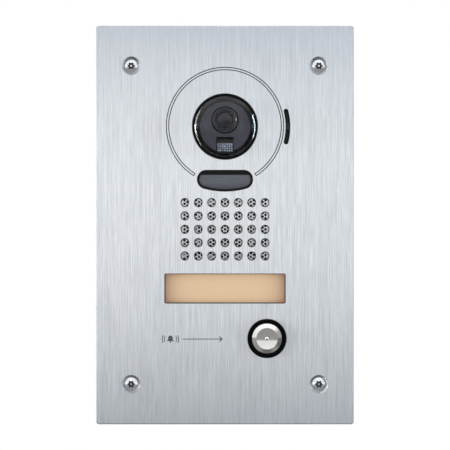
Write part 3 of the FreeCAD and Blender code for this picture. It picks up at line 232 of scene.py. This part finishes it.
def bright_screw(name, socket_y):
    """Polished stainless with faint turning marks and painted shade deep in its socket. The shanks get no
    shade.
    """
    s = Shader(name, grey(0.66, 0.01), metallic=1.0, roughness=0.16)
    marks = s.noise(0.9, 5.0, 0.7)
    unshaded = s.blend(s.fit(marks, 0.4, 0.75), (0.70, 0.71, 0.73), (0.52, 0.53, 0.55))
    # painted shade deep in the socket, not on the shank behind the plate
    fade, shank_y = 0.25 * MM, -0.1 * MM
    socket_shade = s.math("MULTIPLY", s.fit(s.axis("Y"), socket_y, socket_y + fade, 0.0, 0.9),
                   s.math("LESS_THAN", s.axis("Y"), shank_y))
    s.set("Base Color", s.blend(socket_shade, unshaded, (0.03, 0.03, 0.032)))
    s.set("Roughness", s.math("ADD", s.fit(marks, 0.3, 0.7, 0.13, 0.24), s.math("MULTIPLY", socket_shade, 0.4)))
    s.set("Normal", s.bump(s.noise(2.5, 3.0), 0.004))
    return s.material


def zinc_plate():
    """Zinc plating: slightly blue, cloudy and finely grained."""
    s = Shader("zinc_plate", grey(0.6), metallic=1.0, roughness=0.36)
    cloud = s.noise(0.35, 4.0, 0.6)
    grain = s.noise(9.0, 2.0)
    s.set("Base Color", s.blend(s.fit(cloud, 0.35, 0.65), (0.50, 0.52, 0.56), (0.70, 0.71, 0.70)))
    s.set("Roughness", s.math("ADD", s.fit(cloud, 0.3, 0.7, 0.28, 0.38), s.fit(grain, 0.3, 0.7, 0.0, 0.08)))
    s.set("Normal", s.bump(grain, 0.004))
    return s.material


def turned_cap():
    """A lathe-turned steel button, polished over fine rings."""
    s = Shader("turned_cap", grey(0.7), metallic=1.0, roughness=0.12)
    off = s.add("ShaderNodeVectorMath", {0: s.position, 1: BUTTON}, operation="SUBTRACT").outputs["Vector"]
    flat = s.add("ShaderNodeVectorMath", {0: off, 1: (1.0, 0.0, 1.0)}, operation="MULTIPLY")
    radius = s.add("ShaderNodeVectorMath", {0: flat.outputs["Vector"]}, operation="LENGTH").outputs["Value"]
    rings_per_metre = 9000.0
    rings = s.add("ShaderNodeTexNoise", {"W": s.math("MULTIPLY", radius, rings_per_metre), "Scale": 1.0,
                                         "Detail": 3.0}, noise_dimensions="1D").outputs["Fac"]
    chatter = s.noise(1.6, 4.0, 0.65)
    s.set("Base Color", s.blend(s.fit(s.math("ADD", rings, chatter), 0.75, 1.25),
                                (0.57, 0.56, 0.54), (0.75, 0.74, 0.72)))
    s.set("Roughness", s.fit(chatter, 0.3, 0.7, 0.09, 0.18))
    s.set("Normal", s.bump(rings, 0.0006))
    return s.material


def grille_steel():
    """Perforated sheet with a satin finish, darkened by painted shade where it meets the edge of each sound
    hole.
    """
    s = Shader("grille_steel", grey(0.7), metallic=1.0, roughness=0.4)
    cloud = s.noise(0.5, 4.0, 0.6)
    offsets = []
    for axis, centre in (("X", 0.0), ("Z", GRILLE_Z)):
        share = s.math("DIVIDE", s.math("SUBTRACT", s.axis(axis), centre), GRILLE_PITCH)
        offset = s.math("SUBTRACT", s.math("FRACT", s.math("ADD", share, 0.5)), 0.5)
        offsets.append(s.math("MULTIPLY", offset, offset))
    # painted shade darkens the sheet towards the edge of each sound hole
    unshaded_mm, shaded_mm = 1.5, 2.15
    from_hole_mm = s.math("MULTIPLY", s.math("SQRT", s.math("ADD", *offsets)), GRILLE_PITCH / MM)
    dust_and_shade = s.fit(from_hole_mm, unshaded_mm, shaded_mm, 0.0, 0.94)
    unshaded = s.blend(s.fit(cloud, 0.35, 0.65), (0.80, 0.81, 0.82), (0.90, 0.90, 0.91))
    s.set("Base Color", s.blend(dust_and_shade, unshaded, (0.015, 0.015, 0.017)))
    s.set("Roughness", s.fit(cloud, 0.3, 0.7, 0.10, 0.18))
    s.set("Normal", s.bump(s.noise(7.0, 2.0), 0.001))
    return s.material


def drawn_metal(name, light, dark, roughness, grain=(3.0, 3.0, 3.0)):
    """Wire and drawn cans: fine streaks along the drawing direction."""
    s = Shader(name, light, metallic=1.0, roughness=roughness)
    streak = s.noise(grain, 4.0, 0.6)
    s.set("Base Color", s.blend(s.fit(streak, 0.35, 0.65), light, dark))
    s.set("Roughness", s.fit(streak, 0.3, 0.7, roughness * 0.85, roughness * 1.25))
    s.set("Normal", s.bump(streak, 0.004))
    return s.material


# ---- plastics, rubber and paper --------------------------------------------------------------


def moulded(name, base, roughness=0.5, texture_per_mm=3.5, depth_mm=0.012, tint=0.25):
    """Moulded plastic with a fine spark-eroded texture and slightly uneven tone."""
    s = Shader(name, base, roughness=roughness, ior=1.5)
    cloud = s.noise(0.06, 3.0)
    pores = s.noise(texture_per_mm, 3.0, 0.6)
    darker = tuple(c * (1 - tint) for c in base)
    lighter = tuple(c * (1 + tint) for c in base)
    s.set("Base Color", s.blend(s.fit(s.math("ADD", cloud, s.math("MULTIPLY", pores, 0.35)), 0.5, 0.85),
                                darker, lighter))
    s.set("Roughness", s.math("ADD", s.fit(cloud, 0.3, 0.7, roughness * 0.9, roughness * 1.08),
                              s.fit(pores, 0.3, 0.7, -0.03, 0.05)))
    s.set("Normal", s.bump(pores, depth_mm))
    return s.material


def gloss_black(name, base, roughness, shine=0.5):
    """Polished black plastic with a trace of dust and hairline scratches."""
    s = Shader(name, grey(base), roughness=roughness, ior=1.5, specular_ior_level=shine)
    dust_and_shade = s.noise(1.1, 6.0, 0.75)
    scratch = s.noise((0.25, 4.0, 6.0), 3.0, 0.7)
    s.set("Base Color", s.blend(s.fit(dust_and_shade, 0.62, 0.8, 0.0, 0.35), grey(base), grey(base * 4 + 0.02)))
    s.set("Roughness", s.math("ADD", s.fit(dust_and_shade, 0.4, 0.75, roughness, roughness + 0.12),
                              s.fit(scratch, 0.62, 0.72, 0.0, 0.08)))
    return s.material


def rubber(name, base, pores_per_mm=4.0, depth_mm=0.02, roughness=0.72):
    """Moulded rubber or foam with talc-grey bloom."""
    s = Shader(name, grey(base), roughness=roughness, ior=1.45)
    bloom = s.noise(0.3, 5.0, 0.65)
    pores = s.add("ShaderNodeTexVoronoi", {"Vector": s.space(pores_per_mm), "Scale": 1.0})
    s.set("Base Color", s.blend(s.fit(bloom, 0.35, 0.7), grey(base * 0.8), grey(base * 1.9)))
    s.set("Roughness", s.fit(bloom, 0.3, 0.7, roughness - 0.06, roughness + 0.08))
    s.set("Normal", s.bump(pores.outputs["Distance"], depth_mm))
    return s.material


def clear_cover(name, tint, gloss, haze, rim=1.0):
    """Clear plastic thin enough to look straight through. Its outer face shines, rim times more on slopes."""
    s = Shader(name, tint, roughness=0.03)
    s.nodes.remove(s.main)
    smear = s.noise(0.12, 4.0, 0.6)
    outside = s.math("SUBTRACT", 1.0, s.add("ShaderNodeNewGeometry").outputs["Backfacing"])
    slope = s.add("ShaderNodeLayerWeight", {"Blend": 0.5}).outputs["Facing"]
    fresnel = s.math("MULTIPLY", s.add("ShaderNodeFresnel", {"IOR": gloss}).outputs["Fac"],
                     s.fit(slope, 0.17, 0.23, 1.0, rim))
    through = s.blend(outside, (1.0, 1.0, 1.0), tint)
    see = s.add("ShaderNodeBsdfTransparent", {"Color": through}).outputs["BSDF"]
    shine = s.add("ShaderNodeBsdfGlossy", {"Color": (1.0, 1.0, 1.0, 1.0),
                                           "Roughness": s.fit(smear, 0.4, 0.7, 0.02, haze)}).outputs["BSDF"]
    mix = s.add("ShaderNodeMixShader", {0: s.math("MULTIPLY", fresnel, outside), 1: see, 2: shine})
    s.link(mix.outputs["Shader"], s.out.inputs["Surface"])
    return s.material


def smoked_lens():
    """Dark grey acrylic with a satin face and a faint moulded streak."""
    s = Shader("smoked_lens", (0.09, 0.10, 0.12), roughness=0.3, ior=1.49,
               coat_weight=0.3, coat_roughness=0.08)
    streak = s.noise((0.12, 1.0, 2.2), 3.0, 0.6)
    s.set("Base Color", s.blend(s.fit(streak, 0.3, 0.7), (0.046, 0.051, 0.064), (0.070, 0.077, 0.094)))
    s.set("Roughness", s.fit(streak, 0.3, 0.7, 0.26, 0.36))
    return s.material


def coated_lens():
    """Camera glass: near black, with a violet and green coating, and a painted violet sheen where it is seen
    at a slant.
    """
    s = Shader("coated_lens", (0.012, 0.012, 0.016), roughness=0.04, ior=1.36,
               coat_weight=0.08, coat_roughness=0.02)
    s.set("Coat Tint", (0.75, 0.72, 1.0))
    facing = s.add("ShaderNodeLayerWeight", {"Blend": 0.35}).outputs["Facing"]
    dust_and_shade = s.noise(1.2, 5.0, 0.7)
    # painted sheen: the base colour turns violet where the glass is seen at a slant
    s.set("Base Color", s.blend(facing, (0.010, 0.010, 0.013), (0.045, 0.030, 0.075)))
    s.set("Roughness", s.fit(dust_and_shade, 0.5, 0.8, 0.03, 0.1))
    return s.material


def lamp_cover():
    """Clear lamp lens over a lit grid: pale cells of uneven brightness between dark ribs, with painted light
    that brightens them towards the right.
    """
    s = Shader("lamp_cover", (0.30, 0.33, 0.42), roughness=0.12, ior=1.5,
               coat_weight=0.5, coat_roughness=0.05)
    low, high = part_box("lamp_lens")
    columns, rows = 7, 4
    across = s.math("MULTIPLY", s.math("SUBTRACT", s.axis("X"), low.x), columns / (high.x - low.x))
    upward = s.math("MULTIPLY", s.math("SUBTRACT", s.axis("Z"), low.z), rows / (high.z - low.z))
    ribs = [s.math("ABSOLUTE", s.math("SUBTRACT", s.math("FRACT", v), 0.5)) for v in (across, upward)]
    cell = s.fit(s.math("MAXIMUM", *ribs), 0.27, 0.46, 1.0, 0.0)
    where = s.add("ShaderNodeCombineXYZ", {"X": s.math("FLOOR", across), "Y": s.math("FLOOR", upward)})
    luck = s.add("ShaderNodeTexWhiteNoise", {"Vector": where.outputs["Vector"]}, noise_dimensions="2D")
    bright = s.math("MULTIPLY", cell, s.fit(luck.outputs["Value"], 0.0, 1.0, 0.35, 1.0))
    # painted light: the cells grow brighter towards the right
    bright = s.math("MULTIPLY", bright, s.fit(across, 0.0, columns, 0.75, 1.05))
    s.set("Base Color", s.blend(bright, (0.015, 0.016, 0.022), (0.34, 0.37, 0.47)))
    s.set("Emission Color", s.blend(bright, (0.0, 0.0, 0.0), (0.62, 0.68, 0.86)))
    s.set("Emission Strength", 0.12)
    return s.material


def lit_card():
    """Paper card lit from behind: brightest along the middle, redder and dimmer at its ends and edges, with
    painted shadow where the plate's opening edges overlap it.
    """
    s = Shader("lit_card", (0.8, 0.62, 0.42), roughness=0.85)
    centre, half = middle("name_card"), size("name_card") / 2
    along = s.math("ABSOLUTE", s.math("DIVIDE", s.math("SUBTRACT", s.axis("X"), centre.x), half.x))
    across = s.math("ABSOLUTE", s.math("DIVIDE", s.math("SUBTRACT", s.axis("Z"), centre.z), half.z))
    fibre = s.noise((0.9, 0.9, 1.6), 5.0, 0.7)
    end = s.math("MULTIPLY", s.math("POWER", along, 6.0), 1.35)
    edge = s.math("MULTIPLY", s.math("POWER", across, 5.0), 1.1)
    fall = s.math("ADD", end, edge, clamp=True)
    glow = s.blend(fall, (0.80, 0.575, 0.355), (0.36, 0.185, 0.12))
    # painted shadow along the edges of the plate's opening, on both the glow and the paper
    opening_shadow = s.math("MAXIMUM", s.fit(along, CARD_SHOWS_X - 0.022, CARD_SHOWS_X - 0.006),
                    s.fit(across, CARD_SHOWS_Z - 0.080, CARD_SHOWS_Z - 0.015))
    glow = s.blend(opening_shadow, glow, (0.02, 0.015, 0.015))
    paper = s.blend(s.fit(fibre, 0.3, 0.7), (0.16, 0.125, 0.085), (0.20, 0.155, 0.105))
    s.set("Base Color", s.blend(opening_shadow, paper, (0.03, 0.025, 0.022)))
    s.set("Emission Color", s.blend(s.fit(fibre, 0.3, 0.7, 0.96, 1.0), (0.0, 0.0, 0.0), glow))
    s.set("Emission Strength", 0.72)
    s.set("Normal", s.bump(fibre, 0.01))
    return s.material


def glowing_resin():
    """Small lamps: warm phosphor under clear resin. The light sensors wear it too and glow, though they are
    no lamps.
    """
    s = Shader("glowing_resin", (0.9, 0.82, 0.62), roughness=0.15, coat_weight=0.6)
    grain = s.noise(2.0, 3.0)
    s.set("Base Color", s.blend(s.fit(grain, 0.35, 0.65), (0.88, 0.74, 0.42), (0.95, 0.90, 0.78)))
    s.set("Emission Color", (1.0, 0.82, 0.55))
    s.set("Emission Strength", 1.2)
    return s.material


def circuit_board():
    """Green solder mask over copper tracks."""
    s = Shader("circuit_board", (0.02, 0.12, 0.06), roughness=0.32, ior=1.5,
               coat_weight=0.4, coat_roughness=0.15)
    cells = s.add("ShaderNodeTexVoronoi", {"Vector": s.space(0.42), "Scale": 1.0, "Randomness": 0.25},
                  distance="CHEBYCHEV", feature="F1").outputs["Distance"]
    tracks = s.fit(s.math("ABSOLUTE", s.math("SUBTRACT", cells, 0.36)), 0.03, 0.05)
    weave = s.noise(3.0, 2.0)
    bare = s.blend(s.fit(weave, 0.3, 0.7), (0.016, 0.105, 0.050), (0.024, 0.135, 0.066))
    s.set("Base Color", s.blend(tracks, (0.06, 0.24, 0.11), bare))
    s.set("Normal", s.bump(tracks, 0.03))
    return s.material


def frosted_guide():
    """Frosted acrylic bar that spreads the lamps' light."""
    s = Shader("frosted_guide", (0.9, 0.86, 0.78), roughness=0.45, ior=1.49, subsurface_weight=0.3)
    s.main.inputs["Subsurface Radius"].default_value = (2 * MM, 1.6 * MM, 1.2 * MM)
    frost = s.noise(2.6, 3.0)
    s.set("Base Color", s.blend(s.fit(frost, 0.3, 0.7), (0.84, 0.78, 0.68), (0.95, 0.92, 0.86)))
    s.set("Emission Color", (1.0, 0.78, 0.5))
    s.set("Emission Strength", 0.25)
    s.set("Normal", s.bump(frost, 0.02))
    return s.material


def flex_film():
    """Black film with conductors that show as ridges along it."""
    s = Shader("flex_film", (0.02, 0.018, 0.017), roughness=0.3, ior=1.6,
               coat_weight=0.3, coat_roughness=0.1)
    stripe = s.math("FRACT", s.math("MULTIPLY", s.axis("X"), 1000.0))
    copper = s.fit(s.math("ABSOLUTE", s.math("SUBTRACT", stripe, 0.5)), 0.2, 0.26)
    s.set("Base Color", s.blend(copper, (0.045, 0.034, 0.026), (0.015, 0.014, 0.014)))
    s.set("Normal", s.bump(copper, 0.02))
    return s.material


def pressed_paper():
    """Black cone paper with long fibres and pressed rings."""
    s = Shader("pressed_paper", grey(0.03), roughness=0.85)
    fibre = s.noise(2.2, 6.0, 0.75)
    s.set("Base Color", s.blend(s.fit(fibre, 0.35, 0.7), (0.020, 0.019, 0.018), (0.075, 0.070, 0.064)))
    s.set("Normal", s.bump(fibre, 0.06))
    return s.material


def dress_frame():
    """Gives every CAD node its material."""
    plastic = moulded("housing_plastic", (0.035, 0.036, 0.039), 0.52, tint=0.08)
    zinc, seal, board = zinc_plate(), rubber("seal_rubber", 0.012), circuit_board()
    camera = moulded("camera_plastic", (0.030, 0.030, 0.043), 0.42, 4.0, 0.006)
    cans = drawn_metal("drawn_can", (0.72, 0.73, 0.75), (0.60, 0.61, 0.63), 0.28, (3.0, 0.2, 3.0))
    resin = glowing_resin()
    finishes = {
        brushed_plate(): ["front_plate"],
        bright_screw("screw_steel", SOCKET_Y): ["tamper_screws"],
        drawn_metal("pin_steel", (0.66, 0.67, 0.69), (0.54, 0.55, 0.57), 0.2,
                    (0.4, 3.0, 3.0)): ["pivot_pins"],
        zinc: ["weld_studs", "stud_nuts", "cover_screws", "inner_screws", "lever_clip", "speaker_frame",
               "speaker_yoke", "terminal_screws"],
        seal: ["wall_gasket", "mic_boot", "button_o_ring"],
        gloss_black("dome_seal_black", 0.002, 0.5, 0.08): ["dome_seal"],
        rubber("foam", 0.03, 2.2, 0.12, 0.9): ["chassis_gasket"],
        rubber("surround_rubber", 0.012, 6.0, 0.005, 0.5): ["speaker_surround"],
        plastic: ["chassis", "camera_bracket", "bezel_nut"],
        moulded("lever_plastic", (0.007, 0.007, 0.008), 0.6, tint=0.1): ["tilt_lever"],
        moulded("cover_plastic", (0.045, 0.047, 0.050), 0.56, 2.6, 0.02, 0.08): ["rear_cover"],
        camera: ["camera_face", "camera_back_shell", "lens_barrel"],
        moulded("lens_ring_plastic", (0.020, 0.020, 0.024), 0.3, 5.0, 0.003): ["lens_ring"],
        coated_lens(): ["lens_glass"],
        lamp_cover(): ["lamp_lens"],
        clear_cover("dome_plastic", (0.96, 0.965, 0.98), 1.25, 0.03, 2.2): ["dome_window"],
        clear_cover("window_plastic", (0.98, 0.97, 0.96), 1.45, 0.08): ["name_window"],
        smoked_lens(): ["sensor_window"],
        gloss_black("window_frame_black", 0.003, 0.2, 0.2): ["window_bezel"],
        gloss_black("bezel_black", 0.001, 0.3, 0.04): ["button_bezel"],
        turned_cap(): ["button_cap"],
        grille_steel(): ["speaker_mesh"],
        lit_card(): ["name_card"],
        frosted_guide(): ["light_guide"],
        # the light sensors glow with the lamps' resin, though they are no lamps
        resin: ["backlight_leds", "light_sensors"],
        board: ["main_board", "sensor_board", "backlight_board"],
        moulded("black_board", (0.012, 0.013, 0.013), 0.4, 3.0, 0.004): ["camera_board", "lamp_board"],
        moulded("chip_epoxy", (0.02, 0.02, 0.021), 0.6, 5.0, 0.006): ["board_chips"],
        moulded("ferrite", (0.05, 0.05, 0.056), 0.7, 1.8, 0.03): ["line_transformer"],
        cans: ["board_capacitors", "microphone"],
        moulded("nylon", (0.72, 0.69, 0.62), 0.45, 3.0, 0.006, 0.05): ["board_connectors"],
        moulded("switch_plastic", (0.03, 0.03, 0.034), 0.4, 4.0, 0.005): ["call_switch", "button_stem"],
        moulded("acetal", (0.66, 0.60, 0.50), 0.35, 3.0, 0.004, 0.05): ["switch_plunger"],
        moulded("terminal_plastic", (0.02, 0.19, 0.085), 0.4, 3.0, 0.008, 0.12): ["terminal_block"],
        drawn_metal("spring_wire", (0.56, 0.55, 0.53), (0.42, 0.41, 0.40),
                    0.25): ["button_spring", "stem_clip"],
        moulded("magnet", (0.06, 0.06, 0.065), 0.55, 2.0, 0.02): ["speaker_magnet"],
        pressed_paper(): ["speaker_cone"],
        drawn_metal("copper_wire", (0.80, 0.40, 0.22), (0.62, 0.27, 0.14), 0.3,
                    (0.3, 12.0, 0.3)): ["voice_coil"],
        moulded("lead_pvc", (0.42, 0.02, 0.018), 0.4, 2.0, 0.004, 0.1): ["speaker_leads"],
        flex_film(): ["camera_ribbon"],
    }
    for material, names in finishes.items():
        for name in names:
            slots = NODES[name].data.materials
            slots.clear()
            slots.append(material)
    unfinished = set(NODES) - {n for names in finishes.values() for n in names}
    if unfinished:
        raise ValueError(f"no material for {sorted(unfinished)}")


# ---- pieces drawn finer than the frame --------------------------------------------------------


def piece(name, points_mm, faces, node, body, stands=True):
    """A smooth mesh in a CAD node's material. It stands for the node, or is added to it.

    With no body it is left to the caller.
    """
    mesh = bpy.data.meshes.new(name)
    mesh.from_pydata([Vector(p) * MM for p in points_mm], [], faces)
    mesh.validate()
    edit = bmesh.new()
    edit.from_mesh(mesh)
    bmesh.ops.recalc_face_normals(edit, faces=edit.faces)
    edit.to_mesh(mesh)
    edit.free()
    mesh.shade_smooth()
    mesh.set_sharp_from_angle(angle=math.radians(35))
    mesh.materials.append(NODES[node].data.materials[0])
    thing = bpy.data.objects.new(name, mesh)
    bpy.context.scene.collection.objects.link(thing)
    if stands:
        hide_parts(node)
    if body:
        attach(thing, body)
    return thing


def lathe(name, outline, centre, node, segments=224):
    """A ring or shell turned about an axis along Y. Points on the axis are shared."""
    points, rings = [], []
    for r, y in outline:
        if r < 1e-6:
            rings.append([len(points)] * segments)
            points.append((centre.x / MM, y, centre.z / MM))
            continue
        rings.append(range(len(points), len(points) + segments))
        points += [(centre.x / MM + r * math.cos(math.tau * i / segments), y,
                    centre.z / MM + r * math.sin(math.tau * i / segments)) for i in range(segments)]
    faces = []
    for a, b in zip(rings, rings[1:] + rings[:1]):
        for i in range(segments):
            j = (i + 1) % segments
            corners = list(dict.fromkeys((a[i], a[j], b[j], b[i])))
            if len(corners) > 2:
                faces.append(corners)
    return piece(name, points, faces, node, "panel")


def rounded_route(corners, share=0.42, steps=8):
    """The corners joined by straight runs with a smooth turn at each."""
    corners = [Vector(c) for c in corners]
    route = [corners[0]]
    for a, b, c in zip(corners, corners[1:], corners[2:]):
        reach = share * min((b - a).length, (c - b).length)
        start, end = b + (a - b).normalized() * reach, b + (c - b).normalized() * reach
        for i in range(steps + 1):
            t = i / steps
            route.append(start * (1 - t) ** 2 + b * 2 * t * (1 - t) + end * t * t)
    return route + [corners[-1]]


def swept(name, route, section, node, body="panel", across=(0.3, 0.1, 1.0), stands=True):
    """A section of (across, up) points carried along a route."""
    points, count, across = [], len(section), Vector(across)
    for i, at in enumerate(route):
        ahead = (route[min(i + 1, len(route) - 1)] - route[max(i - 1, 0)]).normalized()
        across = (across - ahead * across.dot(ahead)).normalized()
        up = ahead.cross(across)
        points += [at + across * u + up * v for u, v in section]
    faces = [list(range(count)), list(range(len(points) - count, len(points)))]
    for i in range(len(route) - 1):
        for k in range(count):
            m = (k + 1) % count
            faces.append([i * count + k, i * count + m, (i + 1) * count + m, (i + 1) * count + k])
    return piece(name, points, faces, node, body, stands)


def disc(radius, sides):
    """A round section for swept()."""
    return [(radius * math.cos(math.tau * i / sides), radius * math.sin(math.tau * i / sides))
            for i in range(sides)]


def clear_dome():
    """The camera window with an even skin, so that its reflections run clean round the rim."""
    low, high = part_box("dome_window")
    ball, neck, wall, flange, flange_t = 24.0, 15.9, 1.1, (high.x - low.x) / 2 / MM, 1.5
    middle_y = low.y / MM + ball
    back, steps = high.y / MM, 40

    def cap(radius, reach):
        turn = math.asin(reach / radius)
        return [(radius * math.sin(turn * i / steps), middle_y - radius * math.cos(turn * i / steps))
                for i in range(steps + 1)]

    outline = cap(ball, neck) + [(neck, back - flange_t), (flange, back - flange_t), (flange, back)]
    outline += [(neck - wall, back)] + cap(ball - wall, neck - wall)[::-1]
    lathe("dome_shell", outline, middle("dome_window"), "dome_window")


def return_spring():
    """Coil under the button, with closed ends."""
    low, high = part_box("button_spring")
    wire, turns, dead, steps, travel = 0.35, 6.0, 0.85, 56, 1.5
    radius = (high.x - low.x) / 2 / MM - wire
    start, end = low.y / MM + wire, high.y / MM - wire
    route = []
    for i in range(int(turns * steps) + 1):
        turn = i / steps
        rise = min(max((turn - dead) / (turns - 2 * dead), 0.0), 1.0)
        closed = 2 * wire * (min(turn, dead) + max(turn - turns + dead, 0.0))
        y = start + closed + rise * (end - start - 4 * wire * dead)
        route.append(Vector((BUTTON.x / MM + radius * math.cos(math.tau * turn), y,
                             BUTTON.z / MM + radius * math.sin(math.tau * turn))))
    coil = swept("return_spring", route, disc(wire, 10), "button_spring")
    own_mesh(coil)


def flex_ribbon():
    """The camera's flat cable, from the head down to the board."""
    low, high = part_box("camera_ribbon")
    x, thick = middle("camera_ribbon").x / MM, 0.25
    half = (high.x - low.x) / 2 / MM
    head_z, front, board_y, foot = high.z / MM - thick / 2, low.y / MM, high.y / MM - thick / 2, low.z / MM
    # it hangs a little in front of the board, and then comes down to it
    hang_y, hang_end, landing = board_y - 2.3, head_z - 14.0, head_z - 17.0
    corners = [(x, front, head_z), (x, hang_y, head_z), (x, hang_y, hang_end), (x, board_y, landing),
               (x, board_y, foot)]
    section = [(-half, -thick / 2), (half, -thick / 2), (half, thick / 2), (-half, thick / 2)]
    route = rounded_route(corners, steps=14)
    strip = swept("flex_ribbon", route, section, "camera_ribbon", None, (1, 0, 0))
    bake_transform(strip)


def screw_threads():
    """A rounded thread on the bare shank of each fixing screw, behind the plate."""
    low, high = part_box("tamper_screws")
    pitch, middle_r, ridge_r, head_r, steps = 0.7, 1.93, 0.2, 3.5, 36
    # from a little behind the plate to just short of the shank's end
    start, end = 1.2, high.y / MM - 0.6
    for column, x in enumerate((low.x / MM + head_r, high.x / MM - head_r)):
        for row, z in enumerate((low.z / MM + head_r, high.z / MM - head_r)):
            count = int((end - start) / pitch * steps)
            route = [Vector((x + middle_r * math.cos(math.tau * i / steps), start + pitch * i / steps,
                             z + middle_r * math.sin(math.tau * i / steps))) for i in range(count + 1)]
            swept(f"screw_thread_{column}_{row}", route, disc(ridge_r, 6), "tamper_screws", stands=False)


def draw_fine_pieces():
    """Every piece of this section."""
    screw_threads()
    clear_dome()
    return_spring()
    flex_ribbon()


# ---- studio ----------------------------------------------------------------------------------


def area_light(name, place, target, width, height, radiance, colour=(1.0, 1.0, 1.0)):
    """A soft rectangle of the given radiance that faces the target."""
    lamp = bpy.data.lights.new(name, "AREA")
    lamp.shape = "RECTANGLE"
    lamp.size, lamp.size_y = width, height
    lamp.energy = radiance * math.pi * width * height
    lamp.color = colour
    light = bpy.data.objects.new(name, lamp)
    bpy.context.scene.collection.objects.link(light)
    light.location = place
    light.rotation_euler = (Vector(target) - Vector(place)).to_track_quat("-Z", "Y").to_euler()
    light.visible_camera = False
    return light


def surroundings():
    """Plain white to the eye. In reflections and for light it is a bright sky over a grey ground."""
    world = bpy.data.worlds.new("studio")
    bpy.context.scene.world = world
    world.use_nodes = True
    world.node_tree.nodes.clear()

    def add(kind, inputs=None, **properties):
        return new_node(world.node_tree, kind, inputs, properties)

    view = add("ShaderNodeTexCoord").outputs["Generated"]
    direction = add("ShaderNodeSeparateXYZ", {0: view}).outputs
    # brightness by height of the direction, from straight down at -1 to straight up at 1
    levels = [(-1.0, 0.07), (-0.92, 0.09), (-0.80, 0.20), (0.006, 0.21), (0.034, 0.60), (0.12, 0.55),
              (0.45, 0.64), (0.85, 0.80), (1.0, 0.55)]
    height = add("ShaderNodeMapRange", {"Value": direction["Z"], "From Min": -1.0}).outputs["Result"]
    ramp = add("ShaderNodeValToRGB", {"Fac": height})
    steps = ramp.color_ramp.elements
    while len(steps) < len(levels):
        steps.new(1.0)
    for step, (z, level) in zip(steps, levels):
        step.position = (z + 1) / 2
        step.color = (level * 0.98, level * 0.99, level, 1.0)
    # directions far to the right are dimmer than all others
    shade = add("ShaderNodeMapRange", {"Value": direction["X"], "From Min": 0.60, "From Max": 0.80,
                                       "To Min": 2.0, "To Max": 0.85}).outputs["Result"]
    lit = add("ShaderNodeBackground", {"Color": ramp.outputs["Color"], "Strength": shade})
    # pale patches to the left and right, at eye level
    beside = add("ShaderNodeMath", {0: direction["X"]}, operation="ABSOLUTE").outputs[0]
    above = add("ShaderNodeMath", {0: direction["Z"]}, operation="ABSOLUTE").outputs[0]
    share = 1.0
    for source, start, end, low, high in ((beside, 0.50, 0.62, 0.0, 1.0), (beside, 0.78, 0.87, 1.0, 0.0),
                                          (above, 0.06, 0.26, 1.0, 0.0)):
        edge = add("ShaderNodeMapRange", {"Value": source, "From Min": start, "From Max": end,
                                          "To Min": low, "To Max": high}, interpolation_type="SMOOTHSTEP")
        product = add("ShaderNodeMath", {0: share, 1: edge.outputs["Result"]}, operation="MULTIPLY")
        share = product.outputs[0]
    glow = add("ShaderNodeBackground", {"Color": (0.90, 0.94, 1.0, 1.0), "Strength": share})
    both = add("ShaderNodeAddShader", {0: lit.outputs[0], 1: glow.outputs[0]})
    white = add("ShaderNodeBackground", {"Color": (1.0, 1.0, 1.0, 1.0)})
    seen = add("ShaderNodeLightPath").outputs["Is Camera Ray"]
    mix = add("ShaderNodeMixShader", {0: seen, 1: both.outputs[0], 2: white.outputs[0]})
    add("ShaderNodeOutputWorld", {"Surface": mix.outputs[0]})


def studio():
    """Narrow bright strips beside the panel, and soft lights above and behind it."""
    surroundings()
    reach = 0.85
    # the angle from straight ahead sets where on the dome its bright crescents lie
    for side, angle, width, height, radiance, colour in (
            (-1, 82.5, 0.11, 0.30, 24.0, (1.0, 0.99, 0.97)),
            (-1, 82.4, 0.11, 1.2, 9.0, (1.0, 1.0, 1.0)),
            (1, 82.3, 0.05, 0.9, 34.0, (0.72, 0.88, 1.0))):
        a = math.radians(angle)
        area_light(f"side_{side}_{height}", (side * reach * math.sin(a), -reach * math.cos(a), 0.02),
                   (0, 0, 0), width, height, radiance, colour)
    area_light("above", (0, 0.30, 0.75), (0, 0, 0), 0.9, 0.4, 4.0)
    area_light("rear", (0.25, 0.95, 0.45), (0, 0, 0), 0.9, 0.7, 2.6)
    area_light("rear_low", (-0.6, 0.7, -0.05), (0, 0, 0), 0.5, 0.5, 1.6)


def pale_floor():
    """A round pale floor below the panel, out of the front view."""
    mesh = bpy.data.meshes.new("floor")
    bm = bmesh.new()
    radius, drop = 0.36, 0.165
    bmesh.ops.create_circle(bm, cap_ends=True, segments=96, radius=radius)
    bm.to_mesh(mesh)
    bm.free()
    floor = bpy.data.objects.new("floor", mesh)
    bpy.context.scene.collection.objects.link(floor)
    floor.location = (0, -0.02, -drop)
    floor.visible_glossy = False
    s = Shader("floor_paint", (0.86, 0.87, 0.88), roughness=0.8)
    s.set("Base Color", s.blend(s.noise(0.02, 3.0), (0.85, 0.86, 0.87), (0.88, 0.885, 0.89)))
    mesh.materials.append(s.material)


def camera():
    """Long lens, square to the plate, with a margin of plain background."""
    frame_width, lens, sensor = 0.2359, 150.0, 36.0
    data = bpy.data.cameras.new("camera")
    data.lens, data.sensor_width = lens, sensor
    data.clip_start, data.clip_end = 0.01, 20.0
    view = bpy.data.objects.new("camera", data)
    bpy.context.scene.collection.objects.link(view)
    view.location = (0.0, FRONT_Y - frame_width * lens / sensor, 0.0)
    view.rotation_euler = (math.pi / 2, 0.0, 0.0)
    bpy.context.scene.camera = view


def main():
    bpy.context.scene.view_settings.view_transform = "Standard"
    camera()
    studio()
    pale_floor()
    dress_frame()
    draw_fine_pieces()


main()
